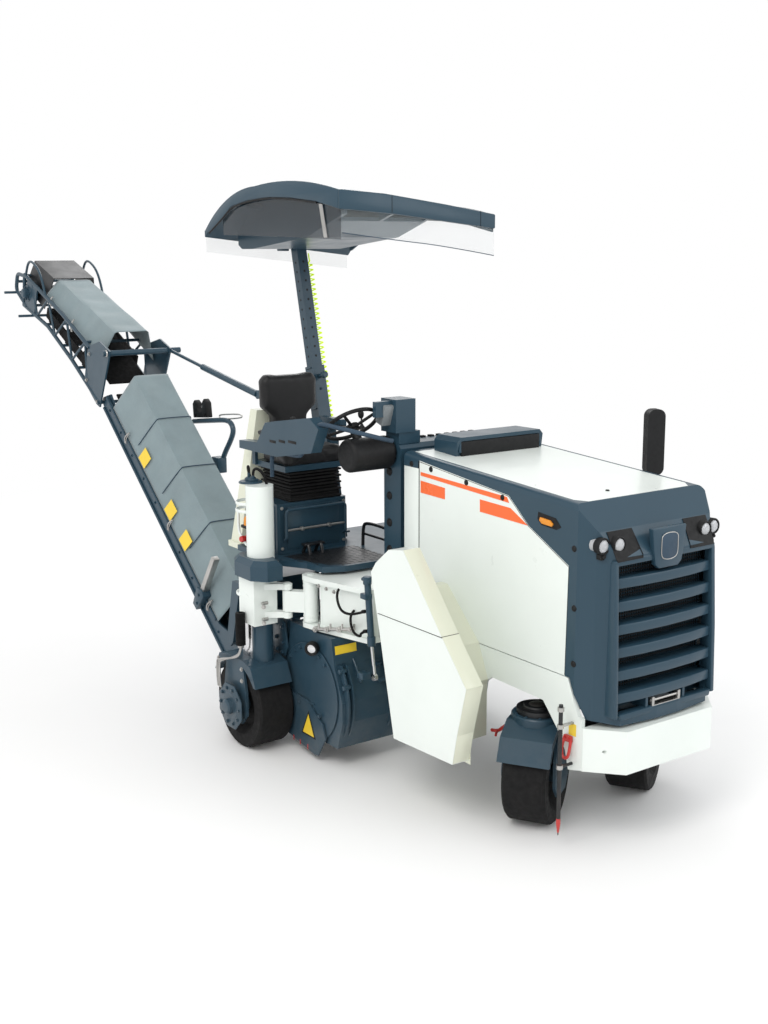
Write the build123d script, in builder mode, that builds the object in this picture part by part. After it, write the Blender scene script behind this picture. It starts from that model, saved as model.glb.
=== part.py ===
"""Small cold planer on four solid-rubber wheels, with rear loading conveyor and canopy.

Millimetres, +X forward, +Y to the machine's left, +Z up, ground at Z = 0. The origin lies on
the ground below the middle of the machine's outline, conveyor included.
"""
from build123d import *
from math import atan2, cos, degrees, hypot, radians, sin
import os

os.makedirs("parts", exist_ok=True)

# ---------------------------------------------------------------- stations and driving sizes
rear_axle_x = 952.0        # rear wheels' axle line
mid_y = 256.0              # hood's centre plane
wheelbase = 2037.0
front_axle_x = rear_axle_x + wheelbase
wheel_dia = 600.0
wheel_width = 262.0
wheel_r = wheel_dia / 2
axle_z = wheel_r
run_gap = 6.0              # clearance of moving pieces
seat_gap = 0.3             # clearance of pieces that seat on each other across bodies

flush_y = mid_y - 1000.0   # the milling edge's plane, right side
front_track_half = 414.0
steer_deg = -57.7          # the front wheels stand turned to the right
rear_right_y = mid_y - 1164.0
rear_left_y = mid_y + 440.0

hood_half = 507.0
hood_skin = 30.0
hood_edge_r = 42.0
skirt_t = 25.0
hood_rear_x = rear_axle_x + 831.0
hood_low_z = 996.0
hood_top_rear_z = 2075.0
hood_top_front = (rear_axle_x + 2405, 1985.0)
hood_nose = (rear_axle_x + 2530, 1840.0)
hood_brow = (rear_axle_x + 2612, 1700.0)
hood_toe = (rear_axle_x + 2660, 746.0)
hood_side_end_x = rear_axle_x + 2430

floor_z = 1300.0           # operator's floor
tread_plate = 12.0
bumper_front_x = rear_axle_x + 2695
bumper_rear_x = rear_axle_x + 2500
bumper_low, bumper_high = 479.0, 731.0

drum_x, drum_z = rear_axle_x + 450, 458.0
drum_cut_r = 298.0
drum_width = 420.0
housing_r = 372.0
housing_wall = 16.0
rib_height, rib_width = 34.0, 12.0
disc_proud = 10.0

belt_angle = 39.0          # pitch of the lower conveyor
belt_y = mid_y - 750.0
belt_half = 250.0
belt_x, belt_z = rear_axle_x - 600, 285.0     # low end of the lower side rail
fold_s = 2848.0            # fold pin's distance up the rail

mast_lean = 13.2
mast_y = mid_y - 350.0
mast_base_x = rear_axle_x - 190


# ---------------------------------------------------------------- small building helpers
def side_slab(outline, y_low, y_high):
    """Plate whose outline is drawn in X and Z, between two Y stations."""
    with BuildPart() as piece:
        with BuildSketch(Plane.XZ.offset(-y_high)):
            with BuildLine():
                Polyline(*outline, close=True)
            make_face()
        extrude(amount=y_high - y_low)
    return piece.part


def plan_slab(outline, z_low, z_high):
    """Plate whose outline is drawn in X and Y, between two heights."""
    with BuildPart() as piece:
        with BuildSketch(Plane.XY.offset(z_low)):
            with BuildLine():
                Polyline(*outline, close=True)
            make_face()
        extrude(amount=z_high - z_low)
    return piece.part


def cross_slab(outline, x_low, x_high):
    """Plate whose outline is drawn in Y and Z, between two X stations."""
    with BuildPart() as piece:
        with BuildSketch(Plane.YZ.offset(x_low)):
            with BuildLine():
                Polyline(*outline, close=True)
            make_face()
        extrude(amount=x_high - x_low)
    return piece.part


def block(x_span, y_span, z_span):
    """Box between two corners, each span a pair of low and high."""
    size = [high - low for low, high in (x_span, y_span, z_span)]
    middle = [(low + high) / 2 for low, high in (x_span, y_span, z_span)]
    with BuildPart() as piece:
        with Locations(tuple(middle)):
            Box(*size)
    return piece.part


def rod(start, end, radius, inner=0.0):
    """Round bar or tube from one point to another."""
    run = Vector(*end) - Vector(*start)
    with BuildPart() as piece:
        with BuildSketch(Plane(origin=start, z_dir=run.normalized())):
            Circle(radius)
            if inner > 0:
                Circle(inner, mode=Mode.SUBTRACT)
        extrude(amount=run.length)
    return piece.part


def bent_tube(points, radius, bend):
    """Round tube along straight runs with bends of one radius."""
    with BuildPart() as piece:
        with BuildLine() as path:
            FilletPolyline(*points, radius=bend)
        with BuildSketch(Plane(origin=path.line @ 0, z_dir=path.line % 0)):
            Circle(radius)
        sweep()
    return piece.part


def other_side(piece):
    """The same piece mirrored to the other side of the hood's centre plane."""
    return piece.mirror(Plane.XZ.offset(-mid_y))


def save(piece, name):
    """Label a finished piece and write it."""
    piece.label = name
    export_step(piece, f"parts/{name}.step")


# ---------------------------------------------------------------- chassis
rail_y = 150.0
rail_half = 45.0
rail_low, rail_high = 765.0, 930.0
rail_front_x = bumper_rear_x - 60
body_front_x = hood_rear_x - 40
body_low, body_high = 735.0, floor_z - 40
body_rear_x = rear_axle_x - 430
body_right_y = flush_y + 530.0
body_left_y = mid_y + hood_half
leg_bay_x = rear_axle_x + 330
leg_bay_y = mid_y + 265.0

with BuildPart() as chassis_frame:
    for side in (-1, 1):
        rail_mid = mid_y + side * rail_y
        add(block((body_front_x - 60, rail_front_x), (rail_mid - rail_half, rail_mid + rail_half),
                  (rail_low, rail_high)))
    for cross_x in (hood_rear_x + 90, front_axle_x - 480, rail_front_x - 60):
        add(block((cross_x, cross_x + 60), (mid_y - rail_y, mid_y + rail_y), (rail_low + 20, rail_high - 20)))
    # drop plates that carry the bumper, and the deck that carries the skirts
    for side in (-1, 1):
        rail_mid = mid_y + side * rail_y
        add(block((rail_front_x - 70, rail_front_x), (rail_mid - rail_half, rail_mid + rail_half), (560, rail_high)))
        add(block((rail_front_x - 70, bumper_rear_x), (rail_mid - rail_half, rail_mid + rail_half), (560, 735)))
    add(block((rail_front_x - 40, rail_front_x), (mid_y - hood_half + skirt_t, mid_y + hood_half - skirt_t),
              (560, 735)))
    add(block((body_front_x - 60, front_axle_x - 620), (mid_y - hood_half + skirt_t, mid_y + hood_half - skirt_t),
              (rail_high - 24, rail_high)))
chassis_frame = chassis_frame.part - block((rail_front_x - 36, rail_front_x + 1), (mid_y - 330, mid_y + 330),
                                           (860, rail_high + 1))
save(chassis_frame, "chassis_frame")

with BuildPart() as rear_body:
    add(plan_slab([(body_rear_x, body_right_y + 190), (body_rear_x + 200, body_right_y),
                   (body_front_x - 60, body_right_y), (body_front_x - 60, body_left_y), (leg_bay_x, body_left_y),
                   (leg_bay_x, leg_bay_y), (body_rear_x + 60, leg_bay_y), (body_rear_x, leg_bay_y - 60)],
                  body_low, body_high))

# engine, one plain block on the rails
engine_x = (hood_rear_x + 260, hood_rear_x + 1210)
with BuildPart() as engine_block:
    add(block(engine_x, (mid_y - 290, mid_y + 290), (rail_high, 1560)))
    chamfer(engine_block.edges().filter_by(Axis.X).group_by(Axis.Z)[-1], length=120)
save(engine_block.part, "engine_block")

# ---------------------------------------------------------------- front axle and knuckles
bearing_z = 652.0
beam_low, beam_high = bearing_z + seat_gap, 700.0
housing_disc_r = 125.0
with BuildPart() as front_axle_beam:
    add(block((front_axle_x - 90, front_axle_x + 90), (mid_y - front_track_half, mid_y + front_track_half),
              (beam_low, beam_high)))
    add(block((front_axle_x - 90, front_axle_x + 90), (mid_y - rail_y - rail_half, mid_y + rail_y + rail_half),
              (beam_high, rail_low)))
    with Locations((front_axle_x, mid_y - front_track_half, (beam_low + beam_high) / 2),
                   (front_axle_x, mid_y + front_track_half, (beam_low + beam_high) / 2)):
        Cylinder(housing_disc_r, beam_high - beam_low)
    with Locations((front_axle_x, mid_y - front_track_half, beam_high + 8),
                   (front_axle_x, mid_y + front_track_half, beam_high + 8)):
        Cylinder(88, 16)
    chamfer(front_axle_beam.faces().filter_by(Axis.Z).group_by(Axis.Z)[-2].edges().filter_by(GeomType.CIRCLE),
            length=7)
save(front_axle_beam.part, "front_axle_beam")

wheel_bore_r = 52.0
axle_r = wheel_bore_r - seat_gap
guard_gap = 12.0
fork_gap = 8.0
cheek = 18.0
cheek_in = wheel_width / 2 + fork_gap
cheek_out = cheek_in + cheek


def solid_wheel():
    """Rubber-tyred wheel about its own centre, its axle along Y."""
    half = wheel_width / 2
    dish = half - 60
    rim_r = wheel_r - 88
    shoulder = 14.0
    with BuildPart() as piece:
        with BuildSketch(Plane.XY):
            with BuildLine():
                Polyline((wheel_bore_r, -dish), (wheel_r - 150, -dish), (rim_r - 8, 8 - half), (rim_r, -half),
                         (wheel_r - shoulder, -half), (wheel_r, shoulder - half), (wheel_r, half - shoulder),
                         (wheel_r - shoulder, half), (rim_r, half), (rim_r - 8, half - 8), (wheel_r - 150, dish),
                         (wheel_bore_r, dish), close=True)
            make_face()
        revolve(axis=Axis.Y)
    return piece.part


def fork(top_z, guard_end, guard_low, cheek_sides, guard_y):
    """Wheel fork about the wheel's middle: guard over the tyre, cheeks, axle and motor plate."""
    with BuildPart() as piece:
        outline = [(-guard_end, guard_low), (-guard_end + 65, guard_low + 130), (-105, top_z), (105, top_z),
                   (guard_end - 65, guard_low + 130), (guard_end, guard_low)]
        add(side_slab(outline, guard_y[0], guard_y[1]))
        with Locations((0, 0, axle_z)):
            Cylinder(wheel_r + guard_gap, 4 * wheel_width, rotation=(90, 0, 0), mode=Mode.SUBTRACT)
        for side in cheek_sides:
            low, high = sorted((side * cheek_in, side * cheek_out))
            add(side_slab([(-105, top_z), (105, top_z), (150, axle_z + 120), (150, axle_z - 40), (80, axle_z - 115),
                           (-80, axle_z - 115), (-150, axle_z - 40), (-150, axle_z + 120)], low, high))
        ends = [side * cheek_in for side in cheek_sides] + [-cheek_sides[0] * wheel_width / 2]
        add(rod((0, min(ends), axle_z), (0, max(ends), axle_z), axle_r))
        # drive motor on the outer cheek
        outer = cheek_sides[0]
        add(rod((0, outer * cheek_out, axle_z), (0, outer * (cheek_out + 34), axle_z), 92))
    return piece.part


front_fork = fork(bearing_z - 12, wheel_r + 2, axle_z + 145, (-1, 1), (-cheek_out, cheek_out))
steer_disc_r = 112.0
with BuildPart() as knuckle:
    add(front_fork)
    with Locations((0, 0, bearing_z - 6)):
        Cylinder(steer_disc_r, 12)
knuckle = knuckle.part
wheel = solid_wheel()
for side_name, side in (("right", -1), ("left", 1)):
    stand = Location((front_axle_x, mid_y + side * front_track_half, 0), (0, 0, steer_deg))
    # the drive motor faces outwards on both sides
    facing = Location((0, 0, 0), (0, 0, 0 if side < 0 else 180))
    save((knuckle.moved(facing)).moved(stand), f"knuckle_{side_name}")
    save(wheel.moved(Location((0, 0, axle_z))).moved(stand), f"wheel_front_{side_name}")

# ---------------------------------------------------------------- rear legs
leg_x = rear_axle_x + 115
leg_r = 71.0
guide_r = 92.0
guide_low, guide_high = 890.0, 1822.0
fork_top = 640.0
leg_stroke_up = 230.0
leg_top = guide_high - 24 - leg_stroke_up - run_gap
rear_guard = wheel_r - 20


def leg(outer_side):
    """Round leg with its single-sided fork, about the wheel's middle at the axle station."""
    inner_y = -outer_side * (wheel_width / 2 - 4)
    low, high = sorted((inner_y, outer_side * cheek_out))
    with BuildPart() as piece:
        add(fork(fork_top, rear_guard, axle_z + 185, (outer_side,), (low, high)))
        with Locations((leg_x - rear_axle_x, 0, (fork_top - 40 + leg_top) / 2)):
            Cylinder(leg_r, leg_top - fork_top + 40)
    return piece.part


def leg_guide(wall_x, wall_y):
    """Guide tube and its clamp box about the wheel's middle; the box reaches the given corner."""
    with BuildPart() as piece:
        x = leg_x - rear_axle_x
        add(block(sorted((x - guide_r - 18, wall_x)), sorted((-guide_r - 18, wall_y)), (guide_low, 1215)))
        with Locations((x, 0, (1215 + guide_high) / 2)):
            Cylinder(guide_r, guide_high - 1215)
        with Locations((x, 0, (guide_low + guide_high - 24) / 2)):
            Cylinder(leg_r + seat_gap, guide_high - 24 - guide_low, mode=Mode.SUBTRACT)
    return piece.part


for side_name, side, wheel_y in (("right", -1, rear_right_y), ("left", 1, rear_left_y)):
    stand = Location((rear_axle_x, wheel_y, 0))
    save(leg(side).moved(stand), f"leg_{side_name}")
    save(wheel.moved(Location((0, 0, axle_z))).moved(stand), f"wheel_rear_{side_name}")

left_guide = leg_guide(leg_bay_x - rear_axle_x, guide_r + 18)
with BuildPart() as leg_guide_left:
    add(left_guide.moved(Location((rear_axle_x, rear_left_y, 0))))
    # shelf that ties the clamp box to the bay's inner wall
    add(block((leg_x - guide_r - 18, leg_x + guide_r + 18), (leg_bay_y, rear_left_y - guide_r), (guide_low, 1215)))
    with Locations((leg_x, rear_left_y, (guide_low + guide_high - 24) / 2)):
        Cylinder(leg_r + seat_gap, guide_high - 24 - guide_low, mode=Mode.SUBTRACT)
save(rear_body.part + leg_guide_left.part, "rear_body")

# swing arm on the right: barrel on the machine, tongue and clevis towards the leg's clamp box
barrel_x, barrel_y = rear_axle_x + 393, mid_y - 950
clevis_x, clevis_y = barrel_x - 118, barrel_y - 110
barrel_r, pin_r = 50.0, 24.0
arm_low, arm_high = 925.0, 1200.0
tongue_low, tongue_high = 985.0, 1125.0
with BuildPart() as swing_arm:
    with Locations((barrel_x, barrel_y, (arm_low + arm_high) / 2)):
        Cylinder(barrel_r, arm_high - arm_low)
    run = Vector(clevis_x - barrel_x, clevis_y - barrel_y, 0)
    with BuildSketch(Plane(origin=(barrel_x, barrel_y, tongue_low), x_dir=run.normalized(), z_dir=(0, 0, 1))):
        with Locations((run.length / 2, 0)):
            Rectangle(run.length, 64)
        with Locations((run.length, 0)):
            Circle(32)
    extrude(amount=tongue_high - tongue_low)
    with Locations((barrel_x, barrel_y, (arm_low + arm_high) / 2)):
        Cylinder(pin_r + seat_gap, 400, mode=Mode.SUBTRACT)
    with Locations((clevis_x, clevis_y, (tongue_low + tongue_high) / 2)):
        Cylinder(pin_r + seat_gap, 400, mode=Mode.SUBTRACT)
save(swing_arm.part, "swing_arm")

clamp_front_x = clevis_x - 70
with BuildPart() as leg_clamp_right:
    add(leg_guide(clamp_front_x - rear_axle_x, guide_r - 26).moved(Location((rear_axle_x, rear_right_y, 0))))
    for low, high in ((940, tongue_low - run_gap), (tongue_high + run_gap, 1170)):
        with BuildSketch(Plane.XY.offset(low)):
            with BuildLine():
                Polyline((clamp_front_x - 20, rear_right_y - 60), (clamp_front_x - 20, rear_right_y + 60),
                         (clevis_x, clevis_y + 34), (clevis_x + 30, clevis_y), (clevis_x, clevis_y - 34), close=True)
            make_face()
            with Locations((clevis_x, clevis_y)):
                Circle(34)
        extrude(amount=high - low)
    add(rod((clevis_x, clevis_y, 934), (clevis_x, clevis_y, 1176), pin_r))
    with Locations((leg_x, rear_right_y, (guide_low + guide_high - 24) / 2)):
        Cylinder(leg_r + seat_gap, guide_high - 24 - guide_low, mode=Mode.SUBTRACT)
save(leg_clamp_right.part, "leg_clamp_right")

cover_low = 1215 + seat_gap
with BuildPart() as arm_cover:
    add(plan_slab([(leg_x - 190, rear_right_y + 30), (leg_x - 190, rear_right_y - 95), (leg_x - 90, rear_right_y - 150),
                   (leg_x + 120, rear_right_y - 150), (leg_x + 215, rear_right_y - 75),
                   (leg_x + 215, rear_right_y + 40), (leg_x + 60, rear_right_y + 88)], cover_low, cover_low + 130))
    chamfer(arm_cover.faces().sort_by(Axis.Z)[-1].edges(), length=34)
    with Locations((leg_x, rear_right_y, cover_low + 60)):
        Cylinder(guide_r + seat_gap, 200, mode=Mode.SUBTRACT)
save(arm_cover.part, "arm_cover")

bracket_low, bracket_high = 888.0, 1240.0
bracket_end_x = rear_axle_x + 960
bracket_root_x = body_front_x - 66
with BuildPart() as arm_bracket:
    for low, high in ((bracket_low, arm_low - run_gap), (arm_high + run_gap, bracket_high)):
        with BuildSketch(Plane.XY.offset(low)):
            with BuildLine():
                Polyline((barrel_x, barrel_y - barrel_r - 6), (barrel_x + 110, barrel_y - barrel_r + 10),
                         (bracket_end_x, flush_y + 130), (bracket_end_x, body_right_y - 60),
                         (bracket_root_x, body_right_y - 60), (bracket_root_x, body_right_y),
                         (bracket_root_x - 220, body_right_y),
                         (barrel_x, barrel_y + barrel_r + 6), close=True)
            make_face()
            with Locations((barrel_x, barrel_y)):
                Circle(barrel_r + 6)
        extrude(amount=high - low)
    # closing web beside the swinging barrel
    add(plan_slab([(barrel_x + 100, barrel_y + 10), (barrel_x + 130, barrel_y + 10), (bracket_end_x, flush_y + 160),
                   (bracket_end_x, flush_y + 200), (barrel_x + 100, barrel_y + 60)], bracket_low + 10, bracket_high - 10))
    add(rod((barrel_x, barrel_y, bracket_low - 6), (barrel_x, barrel_y, bracket_high + 6), pin_r))
save(arm_bracket.part, "arm_bracket")

# ---------------------------------------------------------------- milling drum and its housing
housing_y = (flush_y + 8, mid_y - hood_half - 8)
drum_mid_y = (housing_y[0] + housing_y[1]) / 2
drum_y = (drum_mid_y - drum_width / 2, drum_mid_y + drum_width / 2)
chute_x = (rear_axle_x - 295, drum_x - housing_r + 40)
skid_z, roof_z = 150.0, 880.0
chute_y = (housing_y[0] + 20, housing_y[1] - 20)
chute_z = (300.0, roof_z)
hanger_high = body_high - 6


def housing_outline(radius, roof_half, roof_z, skid_z):
    """Drum box seen from the side: a round front and rear under a flat roof."""
    arc_high = radius * sin(radians(40))
    arc_wide = radius * cos(radians(40))
    return [(drum_x - roof_half, roof_z), (drum_x + roof_half, roof_z), (drum_x + arc_wide, drum_z + arc_high),
            (drum_x + radius, drum_z + 20), (drum_x + radius, drum_z - 120), (drum_x + radius - 60, skid_z),
            (drum_x - radius + 40, skid_z), (drum_x - radius, drum_z - 120), (drum_x - radius, drum_z + 60),
            (drum_x - arc_wide, drum_z + arc_high)]


with BuildPart() as drum_housing:
    add(side_slab(housing_outline(housing_r, 250, roof_z, skid_z), *housing_y))
    # hollow for the drum, open below
    with Locations((drum_x, drum_mid_y, drum_z)):
        Cylinder(drum_cut_r + 22, drum_width + 24, rotation=(90, 0, 0), mode=Mode.SUBTRACT)
    add(block((drum_x - drum_cut_r + 20, drum_x + drum_cut_r - 20), (drum_y[0] - 12, drum_y[1] + 12), (100, drum_z)),
        mode=Mode.SUBTRACT)
    # curved ribs over the front
    for rib_y in (housing_y[0] + 40, housing_y[0] + 78, housing_y[1] - 90, housing_y[1] - 52):
        with BuildSketch(Plane.XZ.offset(-rib_y)):
            with Locations((drum_x, drum_z)):
                Circle(housing_r + rib_height)
                Circle(housing_r - 12, mode=Mode.SUBTRACT)
            with Locations((drum_x + housing_r, drum_z - 30)):
                Rectangle(420, 560, mode=Mode.INTERSECT)
        extrude(amount=rib_width)
    # bolted disc and its ring on the open side
    with Locations((drum_x, housing_y[0] - disc_proud / 2, drum_z)):
        Cylinder(housing_r - 52, disc_proud, rotation=(90, 0, 0))
    # discharge chute to the rear and the hanger under the machine's body
    add(block(chute_x, chute_y, chute_z))
    add(block((chute_x[0] - 10, chute_x[1] + 10), (chute_y[0] + housing_wall, chute_y[1] - housing_wall),
              (chute_z[0] + housing_wall, chute_z[1] - housing_wall)), mode=Mode.SUBTRACT)
    add(block((drum_x - 240, drum_x - 165), (housing_y[1] - 60, body_right_y), (roof_z - 5, hanger_high)))

pick_rows = 12
pick_turns = 4
drum_body_r = drum_cut_r - 78
with BuildPart() as pick_block:
    with BuildSketch(Plane.XY):
        Rectangle(34, 30)
    with BuildSketch(Plane.XY.offset(92)):
        Rectangle(12, 12)
    loft()
pick_block = pick_block.part
picks = []
with BuildPart() as drum:
    with Locations((drum_x, drum_mid_y, drum_z)):
        Cylinder(drum_body_r, drum_width - 40, rotation=(90, 0, 0))
        Cylinder(70, drum_width + 24 - 2 * seat_gap, rotation=(90, 0, 0))
    # picks in their holders, in rising spirals from both ends to the middle
    for row in range(pick_rows):
        for turn in range(pick_turns):
            pick_y = drum_y[0] + 28 + (drum_width - 56) * row / (pick_rows - 1)
            angle = 360 / pick_turns * turn + 30 * abs(row - (pick_rows - 1) / 2)
            out = Vector(cos(radians(angle)), 0, sin(radians(angle)))
            lean = Vector(-sin(radians(angle)), 0, cos(radians(angle)))
            root = Vector(drum_x, pick_y, drum_z) + out * (drum_body_r - 14) - lean * 24
            tip_dir = (out * 0.86 + lean * 0.5).normalized()
            picks.append(pick_block.moved(Plane(origin=root, z_dir=tip_dir).location))
    add(picks)
save(drum.part, "drum")

# side plate that slides up and down beside the drum
plate_y = (flush_y - 20, flush_y - 8)
plate_rear_x, plate_front_x = rear_axle_x + 113, rear_axle_x + 563
with BuildPart() as side_plate:
    add(side_slab([(plate_rear_x - 60, 400), (plate_rear_x - 60, 175), (plate_rear_x + 60, 95), (plate_front_x - 40, 40),
                   (plate_front_x, 46), (plate_front_x + 95, 190), (plate_front_x + 60, 285), (plate_front_x - 30, 330),
                   (plate_front_x - 130, 400)], *plate_y))
    # wear pads that slide on the bolted disc
    for pad_z_low in (345, 375):
        add(block((drum_x - 150, drum_x + 60), (plate_y[1] - 1, housing_y[0] - disc_proud - seat_gap),
                  (pad_z_low, pad_z_low + 14)))
save(side_plate.part, "side_plate")

# ---------------------------------------------------------------- hood
hood_side = [(hood_rear_x, hood_low_z), (hood_rear_x, hood_top_rear_z), hood_top_front, hood_nose, hood_brow,
             (hood_toe[0] + 8, 1100), hood_toe, (rear_axle_x + 2491, 770), (rear_axle_x + 2390, hood_low_z)]
hood_plan = [(hood_rear_x, -hood_half), (hood_side_end_x, -hood_half), (hood_side_end_x + 90, -hood_half + 55),
             (hood_toe[0] - 22, -350), (hood_toe[0] + 8, 0), (hood_toe[0] - 22, 350),
             (hood_side_end_x + 90, hood_half - 55), (hood_side_end_x, hood_half), (hood_rear_x, hood_half)]


def hood_block(inset, drop):
    """Hood's closed outer form, shrunk by an inset and pulled down by a drop."""
    with BuildPart() as piece:
        with BuildSketch(Plane.XZ.offset(-mid_y - hood_half)):
            with BuildLine():
                Polyline(*hood_side, close=True)
            make_face()
            if inset > 0:
                offset(amount=-inset, kind=Kind.INTERSECTION)
        extrude(amount=2 * hood_half)
        with BuildSketch(Plane.XY.offset(500)):
            with Locations((0, mid_y)):
                with BuildLine():
                    Polyline(*[(x, y + mid_y) for x, y in hood_plan], close=True)
                make_face()
            if inset > 0:
                offset(amount=-inset, kind=Kind.INTERSECTION)
        extrude(amount=1800, mode=Mode.INTERSECT)
        if inset == 0:
            top_edges = piece.edges().filter_by(lambda e: e.center().Z > 1880 and e.length > 1200
                                                and abs(e.center().Y - mid_y) > 440)
            fillet(top_edges, radius=hood_edge_r)
    return piece.part.moved(Location((0, 0, -drop)))


door_outline = [(rear_axle_x + 995, hood_low_z - 20), (rear_axle_x + 995, 2036), (rear_axle_x + 1854, 1946),
                (rear_axle_x + 2031, 1799), (rear_axle_x + 2366, 1631), (rear_axle_x + 2355, hood_low_z - 20)]
roof_edge = 448.0
roof_outline = [(hood_rear_x + 36, mid_y - roof_edge), (rear_axle_x + 2330, mid_y - roof_edge),
                (rear_axle_x + 2396, mid_y - roof_edge + 50), (rear_axle_x + 2396, mid_y + roof_edge - 50),
                (rear_axle_x + 2330, mid_y + roof_edge), (hood_rear_x + 36, mid_y + roof_edge)]
grille_half = 386.0
grille_low, grille_high = 812.0, 1660.0
grille_window = [(mid_y - grille_half + 40, grille_low), (mid_y + grille_half - 40, grille_low),
                 (mid_y + grille_half, grille_low + 60), (mid_y + grille_half - 14, grille_high),
                 (mid_y - grille_half + 14, grille_high), (mid_y - grille_half, grille_low + 60)]
hood_shell = hood_block(0, 0) - hood_block(hood_skin, 0) - hood_block(hood_skin, 70)
hood_shell -= cross_slab(grille_window, hood_side_end_x + 30, hood_toe[0] + 60)
# the hood has no rear wall, so that it clears the engine as it tilts
hood_shell -= block((hood_rear_x - 10, hood_rear_x + 80),
                    (mid_y - hood_half + hood_skin + 2, mid_y + hood_half - hood_skin - 2), (700, 2008))
door_zones = (side_slab(door_outline, mid_y - hood_half - 10, mid_y - hood_half + 40)
              + side_slab(door_outline, mid_y + hood_half - 40, mid_y + hood_half + 10))
roof_zone = plan_slab(roof_outline, 1890, 2200)

hood_doors = hood_shell & door_zones
hood_roof = hood_shell & roof_zone
hood_trim = hood_shell - door_zones - roof_zone
# pockets for the head lamps in the nose
lamp_y = (-442.0, -345.0, 345.0, 442.0)
lamp_x, lamp_z, lamp_r = rear_axle_x + 2575, 1768.0, 38.0
lamp_set_back = {442.0: 24.0, 345.0: 0.0}
with BuildPart() as head_lamps:
    for lamp in lamp_y:
        front = lamp_x + 6 - lamp_set_back[abs(lamp)]
        add(rod((front - 66, mid_y + lamp, lamp_z), (front, mid_y + lamp, lamp_z), lamp_r))
save(head_lamps.part, "head_lamps")
hood_trim -= head_lamps.part
save(hood_doors, "hood_doors")
save(hood_roof, "hood_roof")
save(hood_trim, "hood_trim")

# grille: slats across the window, mesh behind them, lower row with its bracket
slat_pitch = 129.4
slat_count = 6
slat_low = 886.0
slat_height = 46.0
mesh_x = rear_axle_x + 2528
with BuildPart() as grille:
    for level in range(slat_count):
        z = slat_low + slat_pitch * level
        lean = (hood_toe[0] - hood_brow[0]) * (z - hood_toe[1]) / (hood_brow[1] - hood_toe[1])
        front = hood_toe[0] + 4 - lean
        add(plan_slab([(mesh_x, mid_y - grille_half), (front - 26, mid_y - grille_half + 10), (front, mid_y),
                       (front - 26, mid_y + grille_half - 10), (mesh_x, mid_y + grille_half)], z, z + slat_height))
    add(block((mesh_x - 12, mesh_x), (mid_y - grille_half, mid_y + grille_half), (grille_low, grille_high)))
    for bar_y in (-150, 150):
        add(block((mesh_x, hood_toe[0] - 14), (mid_y + bar_y - 9, mid_y + bar_y + 9), (grille_low, slat_low)))
save(grille.part & cross_slab(grille_window, mesh_x - 60, hood_toe[0] + 60), "grille")

scoop_rear_x, scoop_front_x = hood_rear_x + 62, rear_axle_x + 1112
scoop_y = (mid_y - 310, mid_y + 410)
with BuildPart() as air_scoop:
    add(side_slab([(scoop_rear_x, 2050), (scoop_rear_x, 2175), (scoop_front_x + 20, 2178), (scoop_front_x, 2035)],
                  *scoop_y))
    chamfer(air_scoop.edges().filter_by(Axis.X, tolerance=4).group_by(Axis.Z)[-1], length=30)
    add(side_slab([(scoop_rear_x + 70, 2085), (scoop_rear_x + 70, 2150), (scoop_front_x + 40, 2154),
                   (scoop_front_x + 40, 2085)], scoop_y[0] + 30, scoop_y[1] - 30), mode=Mode.SUBTRACT)
air_scoop = air_scoop.part - hood_block(0, 0)
save(air_scoop, "air_scoop")

# ---------------------------------------------------------------- lower body panels
skirt_high = hood_low_z - run_gap
skirt_outline = [(hood_rear_x - 100, skirt_high), (rear_axle_x + 2380, skirt_high), (rear_axle_x + 2470, 790),
                 (bumper_rear_x, 780), (bumper_rear_x, bumper_low), (rear_axle_x + 2400, 452),
                 (rear_axle_x + 2372, 560), (rear_axle_x + 2329, 640), (rear_axle_x + 2182, 802),
                 (rear_axle_x + 1725, 812), (rear_axle_x + 1668, 770), (rear_axle_x + 1600, 430),
                 (hood_rear_x - 100, 430)]
with BuildPart() as side_skirts:
    add(side_slab(skirt_outline, mid_y - hood_half, mid_y - hood_half + skirt_t))
    add(side_slab(skirt_outline, mid_y + hood_half - skirt_t, mid_y + hood_half))
save(side_skirts.part, "side_skirts")

with BuildPart() as bumper:
    add(plan_slab([(bumper_rear_x, mid_y - hood_half), (bumper_front_x - 182, mid_y - hood_half),
                   (bumper_front_x, mid_y - 345), (bumper_front_x, mid_y + 345),
                   (bumper_front_x - 182, mid_y + hood_half), (bumper_rear_x, mid_y + hood_half)],
                  bumper_low, bumper_high))
    with Locations((bumper_front_x - 91, mid_y - 426, (bumper_low + bumper_high) / 2)):
        Cylinder(9, 300, rotation=(0, 90, 0), mode=Mode.SUBTRACT)
save(bumper.part, "bumper")

fender_t = 122.0
fender_outline = [(rear_axle_x + 1166, 1423), (rear_axle_x + 1268, 1001), (rear_axle_x + 1399, 431),
                  (rear_axle_x + 1971, 455), (rear_axle_x + 2010, 640), (rear_axle_x + 2088, 937),
                  (rear_axle_x + 1863, 1188), (rear_axle_x + 1494, 1620), (rear_axle_x + 1350, 1596),
                  (rear_axle_x + 1215, 1490)]
liner_side = [(rear_axle_x + 1230, 430), (rear_axle_x + 1600, 430), (rear_axle_x + 1690, 790),
              (rear_axle_x + 1600, 1000), (rear_axle_x + 1290, 1300), (rear_axle_x + 1230, 1300)]
liner_plan = [(rear_axle_x + 1600, flush_y + fender_t), (rear_axle_x + 1985, flush_y + fender_t),
              (rear_axle_x + 1800, mid_y - 812), (rear_axle_x + 1690, mid_y - 650),
              (rear_axle_x + 1682, mid_y - hood_half), (rear_axle_x + 1600, mid_y - hood_half)]
with BuildPart() as fender_right:
    add(side_slab(fender_outline, flush_y, flush_y + fender_t))
save(fender_right.part, "fender_right")

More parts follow.
